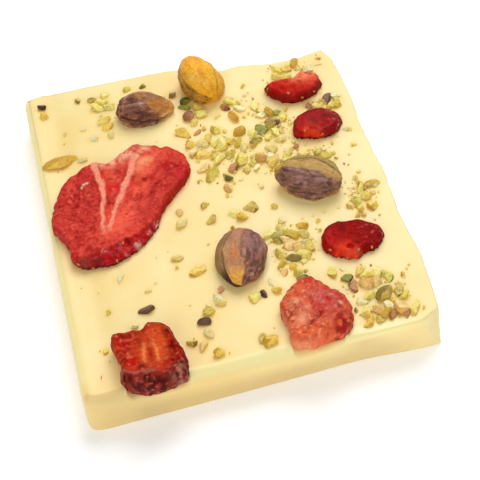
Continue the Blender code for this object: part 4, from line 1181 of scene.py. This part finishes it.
# Chopped pistachio
# Kernels chopped into angular bits, strewn in loose clusters and sunk a third into the chocolate.
# Cut faces are pale yellow to green, and what is left of the kernel's outside is darker.
# A cluster is given as place across, place back, reach across, reach back and number of bits, and
# a single bit as place across, place back, size and tone.
CHOPPED_CLUSTERS = [
    (18.6, 85.4, 3.6, 5.6, 8), (42.4, 60.6, 9.2, 8.4, 36), (54.6, 67.0, 3.8, 6.6, 24),
    (56.6, 53.4, 7.4, 5.0, 26), (66.4, 70.2, 4.6, 3.0, 12), (49.0, 27.4, 5.0, 7.0, 22),
    (60.9, 9.0, 6.6, 7.8, 26), (66.0, 38.6, 4.4, 5.2, 16), (48.6, 76.0, 4.4, 5.0, 12),
    (62.4, 84.0, 6.0, 2.6, 10),
]
CHOPPED_SINGLES = [
    (3.8, 91.4, 2.2, "purple"), (4.0, 87.6, 2.4, "gold"), (12.6, 90.9, 1.8, "olive"),
    (16.3, 86.2, 3.4, "lime"), (19.4, 85.4, 2.8, "green"), (19.2, 82.8, 2.0, "leaf"),
    (17.1, 81.3, 2.6, "yellow"), (17.7, 78.9, 2.6, "gold"), (13.9, 75.8, 2.2, "cream"),
    (18.1, 75.6, 2.1, "cream"), (10.4, 69.4, 2.0, "cream"), (24.4, 90.9, 1.9, "lime"),
    (28.0, 90.6, 1.6, "olive"), (15.8, 89.4, 2.0, "olive"), (5.9, 69.8, 3.4, "gold"),
    (34.0, 85.2, 2.3, "olive"), (36.0, 79.2, 2.2, "leaf"), (39.4, 75.9, 3.0, "yellow"),
    (36.6, 75.7, 3.0, "brown"), (46.2, 77.4, 2.6, "lime"), (47.6, 74.6, 2.4, "cream"),
    (46.2, 72.2, 3.2, "gold"), (33.8, 70.3, 3.3, "gold"), (37.0, 69.8, 1.7, "brown"),
    (36.9, 73.0, 2.0, "yellow"), (34.9, 65.9, 2.6, "gold"), (37.1, 61.8, 3.5, "gold"),
    (41.2, 63.2, 3.8, "yellow"), (39.5, 58.9, 3.6, "yellow"), (42.4, 59.4, 2.4, "olive"),
    (41.7, 55.3, 3.0, "brown"), (45.1, 57.2, 3.4, "lime"), (47.0, 55.8, 1.9, "green"),
    (48.6, 64.7, 2.7, "yellow"), (45.9, 66.8, 2.6, "gold"), (48.0, 61.2, 2.3, "olive"),
    (45.6, 60.9, 2.4, "cream"), (35.9, 57.4, 2.7, "tan"), (47.2, 53.6, 1.8, "cream"),
    (39.9, 49.6, 2.1, "tan"), (41.3, 69.0, 2.8, "lime"), (38.9, 66.6, 2.4, "yellow"),
    (33.8, 45.8, 1.9, "olive"), (34.3, 40.8, 2.1, "olive"), (39.2, 41.2, 2.7, "yellow"),
    (41.0, 39.6, 2.3, "gold"), (43.0, 42.0, 2.8, "olive"), (44.6, 40.4, 2.0, "brown"),
    (28.2, 41.8, 2.2, "cream"), (28.0, 45.4, 1.8, "tan"), (24.8, 32.1, 2.3, "olive"),
    (29.0, 32.4, 2.4, "yellow"), (28.6, 27.4, 3.3, "gold"), (12.6, 30.2, 1.9, "cream"),
    (44.9, 32.6, 2.9, "yellow"), (49.2, 31.2, 3.0, "lime"), (49.6, 34.0, 2.6, "yellow"),
    (51.6, 30.4, 2.2, "olive"), (52.0, 33.2, 2.3, "gold"), (51.6, 28.2, 2.1, "cream"),
    (48.2, 28.3, 2.6, "tan"), (49.9, 26.7, 2.4, "tan"), (45.9, 26.2, 2.8, "lime"),
    (48.0, 24.6, 2.3, "olive"), (47.4, 22.6, 2.0, "yellow"), (45.3, 23.7, 2.2, "lime"),
    (50.5, 24.2, 2.9, "yellow"), (50.2, 21.6, 3.1, "gold"), (48.2, 20.3, 2.5, "lime"),
    (48.2, 18.1, 2.4, "leaf"), (45.0, 21.4, 2.3, "tan"), (41.9, 19.0, 2.0, "cream"),
    (42.4, 16.8, 2.4, "gold"), (40.0, 17.0, 1.9, "purple"), (38.2, 16.6, 2.7, "yellow"),
    (31.6, 20.4, 1.9, "brown"), (30.9, 18.2, 2.6, "cream"), (28.3, 15.3, 2.4, "lime"),
    (26.8, 13.1, 2.3, "purple"), (26.9, 9.8, 2.3, "cream"), (23.4, 8.6, 2.2, "olive"),
    (25.2, 7.0, 2.4, "tan"), (28.2, 4.4, 2.3, "gold"), (16.3, 19.8, 2.6, "purple"),
    (12.9, 16.4, 1.7, "cream"), (37.0, 5.3, 2.2, "olive"), (38.5, 3.9, 2.8, "gold"),
    (54.6, 18.0, 2.6, "lime"), (56.8, 18.0, 2.2, "green"), (56.6, 15.4, 2.6, "leaf"),
    (57.4, 12.9, 2.4, "brown"), (57.8, 10.4, 2.5, "green"), (60.1, 12.6, 2.7, "tan"),
    (62.2, 12.3, 2.3, "tan"), (62.6, 14.9, 2.8, "yellow"), (60.2, 15.0, 2.3, "yellow"),
    (59.8, 9.6, 2.5, "yellow"), (60.4, 7.2, 2.6, "lime"), (63.1, 8.6, 3.4, "olive"),
    (62.6, 5.6, 2.6, "cream"), (60.5, 4.9, 2.0, "tan"), (58.2, 8.4, 2.2, "cream"),
    (58.2, 5.7, 2.5, "yellow"), (58.0, 2.9, 2.6, "gold"), (60.2, 2.6, 1.8, "olive"),
    (65.0, 4.6, 3.4, "tan"), (62.9, 2.9, 2.0, "brown"), (65.4, 2.1, 1.8, "brown"),
    (67.3, 3.6, 2.6, "yellow"), (66.4, 7.2, 2.4, "lime"),
]
LONG_BIT = (5.9, 69.8)
LONG_BIT_STRETCH = (2.0, 0.9, 0.6)
BIT_SIZES = (1.7, 3.4, 2.2)
BIT_STRETCHES = [(0.85, 1.25), (0.6, 0.9), (0.55, 0.8)]
BIT_TILT = 0.4
BIT_SEED = 31
BIT_CORNERS = 9
BIT_GROWTH = 1.12
BIT_SPACING = 0.34
BIT_SHOWS = 0.15
BIT_LIFT = 0.12
FRAGMENTS = 16
FRAGMENT_SEED = 7
FRAGMENT_RADIUS = 0.62
FRAGMENT_CUTS = (6, 9)
FRAGMENT_CUT_DEPTHS = (0.22, 0.44)
# Smaller bits than the solid carries, as their number and their least, greatest and usual size.
FILLING_BITS = (230, 0.7, 1.8, 1.1)
CRUMBS = (560, 0.3, 0.8, 0.5)
CRUMB_SEED = 11
CRUMB_STRETCH = (1, 0.85, 0.75)
CRUMB_LIFT = 0.04
CLUSTER_SHARE = 0.88
CLUSTER_SPREAD = 0.55
STRAY_FIELD = [(3, 71), (3, 88)]
CRUMB_FIELD = [(2, 70), (2, 87.5)]
CRUMB_CLEARANCE = 0.2
FOOT_BITS = [(36.6, 81.2, 2.6, "leaf"), (39.2, 78.7, 3.0, "yellow")]
GOLDEN_TINT_STRENGTH = 0.5
GOLDEN_TINT_REACH = 0.9
GOLDEN_TINT_FULL_SIZE = 2.5
GOLDEN_TINT_LIMIT = 0.75
# Each tone has its place on the colour ramps, its colour on cut faces and its colour outside.
TONES = {
    "cream": (0.04, (255, 246, 196), (246, 222, 140)),
    "yellow": (0.16, (255, 238, 140), (242, 208, 94)),
    "lime": (0.28, (252, 234, 126), (214, 192, 78)),
    "gold": (0.4, (250, 214, 102), (214, 168, 52)),
    "green": (0.52, (228, 218, 118), (148, 152, 70)),
    "olive": (0.64, (220, 196, 104), (150, 130, 60)),
    "leaf": (0.74, (152, 156, 64), (78, 88, 34)),
    "tan": (0.84, (254, 218, 148), (234, 182, 104)),
    "brown": (0.92, (206, 152, 98), (160, 106, 66)),
    "purple": (1.0, (120, 86, 76), (74, 50, 48)),
}
TONE_SEED = 5
TONE_SPREAD = 0.03
TONE_SHARES = {
    "cream": 8, "yellow": 12, "lime": 8, "gold": 7, "green": 2, "olive": 3, "leaf": 1, "tan": 4, "brown": 2,
    "purple": 1,
}
CRUMB_SHARES = {"cream": 10, "yellow": 12, "lime": 5, "gold": 5, "tan": 3, "olive": 1.4, "brown": 0.6}
BIT_ATTRIBUTES = {
    "kind": ("INT", "value"), "turn": ("FLOAT_VECTOR", "vector"), "grow": ("FLOAT_VECTOR", "vector"),
    "tone": ("FLOAT", "value"),
}


def tone_ramp(finish, tone, column):
    """The colour of each tone, from one column of the table of tones."""
    ramp = shader_node(finish, "ShaderNodeValToRGB", {"Fac": tone})
    elements = ramp.color_ramp.elements
    stops = [(row[0], row[column]) for row in TONES.values()]
    for position, _ in stops[1:-1]:
        elements.new(position)
    for element, (position, colour) in zip(elements, stops):
        element.position = position
        element.color = (*linear(*colour), 1)
    return ramp.outputs["Color"]


def nut_finish():
    """Chopped pistachio: a tone for each bit, pale on cut faces, greener or browner outside."""
    finish, shader, place = new_finish("chopped_pistachio", 0.42, 0.35)
    inside, outside = (tone_ramp(finish, attribute(finish, "tone"), column) for column in (1, 2))
    edge = spread(finish, noise_node(finish, place, 1.0, 3.0), 0.58, 0.72, 0.0, 0.8)
    edge = product(finish, edge, attribute(finish, "outside"), "MAXIMUM")
    colour = blended(finish, edge, inside, outside)
    patch = spread(finish, noise_node(finish, place, 0.6, 4.0), 0.35, 0.68)
    tinted = blended(finish, patch, (0.8, 0.78, 0.66), (1.12, 1.12, 1.14))
    connect(finish, shader, base_color=blended(finish, 1.0, colour, tinted, "MULTIPLY"))
    soften(shader, 0.5, (1.0, 0.9, 0.45), 1.3)
    bump(finish, shader, noise_node(finish, place, 0.4, 3.0), 0.16, 0.9)
    return finish


def nut_fragments(finish, collection):
    """Angular bits a millimetre long: a round lump cut by flat planes, its round part marked."""
    draw = random.Random(FRAGMENT_SEED)
    for index in range(FRAGMENTS):
        bm = bmesh.new()
        bmesh.ops.create_icosphere(bm, subdivisions=2, radius=FRAGMENT_RADIUS * MM)
        outside = bm.faces.layers.float.new("outside")
        for face in bm.faces:
            face[outside] = 1.0
        for _ in range(draw.randint(*FRAGMENT_CUTS)):
            normal = Vector([draw.gauss(0, 1) for _ in range(3)]).normalized()
            place = normal * draw.uniform(*FRAGMENT_CUT_DEPTHS) * MM
            parts = bm.verts[:] + bm.edges[:] + bm.faces[:]
            bmesh.ops.bisect_plane(bm, geom=parts, plane_co=place, plane_no=normal, clear_outer=True)
            border = [edge for edge in bm.edges if edge.is_boundary]
            cut = bmesh.ops.contextual_create(bm, geom=border)
            for face in cut["faces"]:
                face[outside] = 0.0
        bmesh.ops.recalc_face_normals(bm, faces=bm.faces)
        mesh = bpy.data.meshes.new(f"nut_fragment_{index:02d}")
        bm.to_mesh(mesh)
        bm.free()
        mesh.materials.append(finish)
        collection.objects.link(bpy.data.objects.new(mesh.name, mesh))


def strewing_tree():
    """Geometry nodes that set a fragment on each point, grown and turned as the point says."""
    tree = bpy.data.node_groups.new("strew_fragments", "GeometryNodeTree")
    inputs = {"Points": "Geometry", "Fragments": "Collection", "Overall Size": "Float", "Finish": "Material"}
    for name, kind in inputs.items():
        tree.interface.new_socket(name, in_out="INPUT", socket_type=f"NodeSocket{kind}")
    tree.interface.new_socket("Bits", in_out="OUTPUT", socket_type="NodeSocketGeometry")
    nodes, link = tree.nodes, tree.links.new
    given = nodes.new("NodeGroupInput")
    made = nodes.new("NodeGroupOutput")
    shapes = nodes.new("GeometryNodeCollectionInfo")
    shapes.inputs["Separate Children"].default_value = True
    shapes.inputs["Reset Children"].default_value = True
    link(given.outputs["Fragments"], shapes.inputs["Collection"])
    named = {}
    for name in ("kind", "turn", "grow"):
        named[name] = nodes.new("GeometryNodeInputNamedAttribute")
        named[name].data_type = BIT_ATTRIBUTES[name][0]
        named[name].inputs["Name"].default_value = name
    spin = nodes.new("FunctionNodeEulerToRotation")
    link(named["turn"].outputs["Attribute"], spin.inputs["Euler"])
    size = nodes.new("ShaderNodeVectorMath")
    size.operation = "SCALE"
    link(named["grow"].outputs["Attribute"], size.inputs["Vector"])
    link(given.outputs["Overall Size"], size.inputs["Scale"])
    strew = nodes.new("GeometryNodeInstanceOnPoints")
    strew.inputs["Pick Instance"].default_value = True
    link(given.outputs["Points"], strew.inputs["Points"])
    link(shapes.outputs["Instances"], strew.inputs["Instance"])
    link(named["kind"].outputs["Attribute"], strew.inputs["Instance Index"])
    link(spin.outputs["Rotation"], strew.inputs["Rotation"])
    link(size.outputs["Vector"], strew.inputs["Scale"])
    real = nodes.new("GeometryNodeRealizeInstances")
    link(strew.outputs["Instances"], real.inputs["Geometry"])
    finished = nodes.new("GeometryNodeSetMaterial")
    link(real.outputs["Geometry"], finished.inputs["Geometry"])
    link(given.outputs["Finish"], finished.inputs["Material"])
    link(finished.outputs["Geometry"], made.inputs["Bits"])
    return tree


def set_input(modifier, name, value):
    """Give a geometry nodes modifier the value of one of its named inputs."""
    for socket in modifier.node_group.interface.items_tree:
        if socket.name == name and socket.in_out == "INPUT":
            modifier[socket.identifier] = value


def strewn_piece(name, places, attributes, collection, finish, nodes=("chocolate_slab",)):
    """One piece of all the bits set on some places, as a plain mesh that rides on the slab."""
    mesh = bpy.data.meshes.new(name)
    mesh.from_pydata(in_place(places).tolist(), [], [])
    for label, values in attributes.items():
        kind, field = BIT_ATTRIBUTES[label]
        mesh.attributes.new(label, kind, "POINT").data.foreach_set(field, np.asarray(values).ravel())
    piece = bpy.data.objects.new(name, mesh)
    scene.collection.objects.link(piece)
    strew = piece.modifiers.new("strew", "NODES")
    strew.node_group = strewing
    set_input(strew, "Fragments", collection)
    set_input(strew, "Overall Size", 1.0)
    set_input(strew, "Finish", finish)
    bpy.context.view_layer.update()
    evaluated = piece.evaluated_get(bpy.context.evaluated_depsgraph_get())
    real = bpy.data.meshes.new_from_object(evaluated)
    piece.modifiers.clear()
    piece.data = real
    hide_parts(*nodes)
    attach(piece, "root")
    return piece


def chopped_places():
    """Where the solid slab carries bits: their places, sizes, stretches and turns."""
    draw = random.Random(BIT_SEED)
    candidates = [(x, y, size) for x, y, size, _ in CHOPPED_SINGLES]
    for x, y, across, along, count in CHOPPED_CLUSTERS:
        for _ in range(count):
            angle = draw.uniform(0, math.tau)
            reach = math.sqrt(draw.uniform(0, 1))
            size = draw.triangular(*BIT_SIZES)
            spread_x, spread_y = across * reach * math.cos(angle), along * reach * math.sin(angle)
            candidates.append((x + spread_x, y + spread_y, size))
    solid = solid_tree(["chocolate_slab"])
    draw = random.Random(BIT_SEED + 1)
    kept = []
    for x, y, size in candidates:
        # The solid draws the corners of each bit first, so as many draws are passed over here.
        for _ in range(3 * BIT_CORNERS):
            draw.gauss(0, 1)
        stretch = tuple(draw.uniform(*limits) for limits in BIT_STRETCHES)
        tilts = [draw.uniform(-BIT_TILT, BIT_TILT) for _ in range(2)]
        turn = (*tilts, draw.uniform(0, math.tau))
        if (x, y) == LONG_BIT:
            stretch, turn = LONG_BIT_STRETCH, (0.0, 0.0, 0.0)
        above = Vector(in_place((x, y, 2 * THICKNESS)))
        hit, _, _, _ = solid.ray_cast(above, (0, 0, -1))
        if hit is None or hit.z / MM < THICKNESS + BIT_SHOWS:
            continue
        if any(math.hypot(x - a, y - b) < BIT_SPACING * (size + other) for a, b, other, _, _ in kept):
            continue
        kept.append((x, y, size, stretch, turn))
    return kept


def drawn_tones(draw, count, shares):
    """Tones for a number of bits, each kind as often as its share says."""
    names = draw.choices(list(shares), list(shares.values()), k=count)
    tones = [TONES[name][0] + draw.uniform(-TONE_SPREAD, TONE_SPREAD) for name in names]
    return np.clip(tones, 0, 1).tolist()


bits = chopped_places()
tone_draw = random.Random(TONE_SEED)
bit_tones = drawn_tones(tone_draw, len(bits), TONE_SHARES)
single_tones = {(x, y): TONES[name][0] for x, y, _, name in CHOPPED_SINGLES}
nut_look = nut_finish()
fragment_shapes = bpy.data.collections.new("nut_fragments")
scene.collection.children.link(fragment_shapes)
nut_fragments(nut_look, fragment_shapes)
strewing = strewing_tree()
bit_places = [(x, y, THICKNESS + BIT_LIFT * size * stretch[2]) for x, y, size, stretch, _ in bits]
strewn_piece("chopped_pistachio", bit_places, {
    "kind": [tone_draw.randrange(FRAGMENTS) for _ in bits],
    "turn": [turn for _, _, _, _, turn in bits],
    "grow": [[size * part * BIT_GROWTH for part in stretch] for _, _, size, stretch, _ in bits],
    "tone": [single_tones.get(bit[:2], tone) for bit, tone in zip(bits, bit_tones)],
}, fragment_shapes, nut_look)

crumb_draw = random.Random(CRUMB_SEED)
surface_tree = solid_tree(TOPPINGS)
cluster_sizes = [cluster[4] for cluster in CHOPPED_CLUSTERS]
crumbs = []
for count, least, most, usual in (FILLING_BITS, CRUMBS):
    wanted = len(crumbs) + count
    while len(crumbs) < wanted:
        if crumb_draw.random() < CLUSTER_SHARE:
            *middle, across, along, _ = crumb_draw.choices(CHOPPED_CLUSTERS, cluster_sizes)[0]
            offsets = [reach * crumb_draw.gauss(0, CLUSTER_SPREAD) for reach in (across, along)]
            plan = [place + offset for place, offset in zip(middle, offsets)]
        else:
            plan = [crumb_draw.uniform(*limits) for limits in STRAY_FIELD]
        size = crumb_draw.triangular(least, most, usual)
        gap = surface_tree.find_nearest(in_place((*plan, THICKNESS)))[3] / MM
        on_slab = all(low < place < high for place, (low, high) in zip(plan, CRUMB_FIELD))
        if on_slab and gap > CRUMB_CLEARANCE + size / 2:
            crumbs.append((*plan, size))
crumb_tones = drawn_tones(crumb_draw, len(crumbs), CRUMB_SHARES) + [TONES[bit[3]][0] for bit in FOOT_BITS]
crumbs += [bit[:3] for bit in FOOT_BITS]
strewn_piece("pistachio_crumbs", [(x, y, THICKNESS + CRUMB_LIFT * size) for x, y, size in crumbs], {
    "kind": [crumb_draw.randrange(FRAGMENTS) for _ in crumbs],
    "turn": [[crumb_draw.uniform(0, math.tau) for _ in range(3)] for _ in crumbs],
    "grow": [[size * part for part in CRUMB_STRETCH] for _, _, size in crumbs],
    "tone": crumb_tones,
}, fragment_shapes, nut_look)
for shape in list(fragment_shapes.objects):
    bpy.data.objects.remove(shape)

# A golden tint on the chocolate round each bit, the more the larger it is.
oil = np.zeros(len(around))
for x, y, size in [bit[:3] for bit in bits] + crumbs:
    gap = np.clip(np.hypot(around[:, 0] - x, around[:, 1] - y) - 0.4 * size, 0, 9)
    oil = 1 - (1 - oil) * (1 - GOLDEN_TINT_STRENGTH * min(size / GOLDEN_TINT_FULL_SIZE, 1) * np.exp(-(gap / GOLDEN_TINT_REACH) ** 2))
paint(slab, "oil", np.clip(oil, 0, GOLDEN_TINT_LIMIT) * (around[:, 2] > THICKNESS - 1.5))

# Strawberry seeds
# Hard straw-coloured seeds a millimetre long, one in each dimple of the skin. They are set on the
# parts of each piece that were painted as skin and show above the chocolate.
SEED_RADIUS = 0.5
SEED_TAPER = 0.5
SEED_STRETCH = (0.5, 0.85, 0.3)
SEED_SPACING = (3.0, 5.0)
SEED_SINK = 0.05
SEED_SEED = 3
SEEDED_SKIN = 0.9
SEEDED_LEANS = (-0.1, 0.85)
SEEDED_FROM = THICKNESS + 0.5
SEEDLESS = "dried_strawberry_chunk_front_left"


def seed_finish():
    """Smooth straw-coloured seed with a soft gloss."""
    finish, shader, place = new_finish("strawberry_seed", 0.35, 0.5)
    shade = spread(finish, noise_node(finish, place, 0.6, 2.0), 0.35, 0.7)
    connect(finish, shader, base_color=blended(finish, shade, SEED * 0.7, SEED))
    return finish


def seed_shape():
    """One seed, pointed at one end."""
    bm = bmesh.new()
    bmesh.ops.create_icosphere(bm, subdivisions=2, radius=SEED_RADIUS * MM)
    for vert in bm.verts:
        vert.co.x *= 1 - SEED_TAPER * max(vert.co.y, 0) / (SEED_RADIUS * MM)
    mesh = bpy.data.meshes.new("seed_shape")
    bm.to_mesh(mesh)
    bm.free()
    mesh.shade_smooth()
    return bpy.data.objects.new("seed_shape", mesh)


def seed_places():
    """Well-spaced points on skin, each with the turn that lays a seed on the surface."""
    draw = random.Random(SEED_SEED)
    least_up, most_up = SEEDED_LEANS
    kept = []
    for piece in berry_pieces:
        if piece.name == SEEDLESS:
            continue
        skins = np.zeros(len(piece.data.vertices))
        piece.data.attributes["skin"].data.foreach_get("value", skins)
        order = list(range(len(skins)))
        draw.shuffle(order)
        for index in order:
            place, normal = piece.data.vertices[index].co, piece.data.vertices[index].normal
            if skins[index] < SEEDED_SKIN or place.z < SEEDED_FROM * MM:
                continue
            if not least_up < normal.z < most_up:
                continue
            apart = draw.uniform(*SEED_SPACING) * MM
            if any((place - other).length < apart for other, _ in kept):
                continue
            spin = Euler((0, 0, draw.uniform(0, math.tau))).to_quaternion()
            kept.append((place - SEED_SINK * MM * normal, (normal.to_track_quat("Z", "Y") @ spin).to_euler()))
    return kept


seed_look = seed_finish()
seed_shapes = bpy.data.collections.new("seed_shapes")
scene.collection.children.link(seed_shapes)
seed_shapes.objects.link(seed_shape())
seeds = seed_places()
seed_plan = [(place - Vector(corner)) / MM for place, _ in seeds]
strewn_piece("strawberry_seeds", seed_plan, {
    "kind": [0] * len(seeds),
    "turn": [list(turn) for _, turn in seeds],
    "grow": [SEED_STRETCH] * len(seeds),
}, seed_shapes, seed_look, BERRIES)
bpy.data.objects.remove(seed_shapes.objects[0])

# Floor and light
# A plain near-white floor, one large soft lamp above and behind, and a weak one in front.
FLOOR_SIZE = 3.0
FLOOR_GLOW = 0.18
KEY_PLACE = (0.22, 0.42, 0.62)
KEY_SIZE = 0.55
KEY_POWER = 4.4
FILL_PLACE = (-0.25, -0.6, 0.45)
FILL_SIZE = 0.6
FILL_POWER = 2.5
SKY_COLOUR = (1.0, 0.99, 0.975, 1)
SKY_STRENGTH = 0.325
WHITE = (1, 1, 1, 1)

floor_mesh = bpy.data.meshes.new("floor")
floor_corners = np.array([(-1, -1, 0), (1, -1, 0), (1, 1, 0), (-1, 1, 0)]) * FLOOR_SIZE / 2
floor_mesh.from_pydata(floor_corners.tolist(), [], [(0, 1, 2, 3)])
floor_finish, floor_shader, _ = new_finish("floor_white", 0.8, 0.1)
floor_shader.inputs["Base Color"].default_value = WHITE
floor_shader.inputs["Emission Color"].default_value = WHITE
floor_shader.inputs["Emission Strength"].default_value = FLOOR_GLOW
floor_mesh.materials.append(floor_finish)
floor = bpy.data.objects.new("floor", floor_mesh)
scene.collection.objects.link(floor)


def soft_lamp(name, place, size, power):
    """A square lamp aimed at the slab."""
    data = bpy.data.lights.new(name, "AREA")
    data.size = size
    data.energy = power
    lamp = bpy.data.objects.new(name, data)
    lamp.location = place
    lamp.rotation_euler = (-Vector(place)).to_track_quat("-Z", "Y").to_euler()
    scene.collection.objects.link(lamp)


soft_lamp("key_lamp", KEY_PLACE, KEY_SIZE, KEY_POWER)
soft_lamp("fill_lamp", FILL_PLACE, FILL_SIZE, FILL_POWER)
sky = bpy.data.worlds.new("studio")
sky.use_nodes = True
background = sky.node_tree.nodes["Background"]
background.inputs["Color"].default_value = SKY_COLOUR
background.inputs["Strength"].default_value = SKY_STRENGTH
scene.world = sky
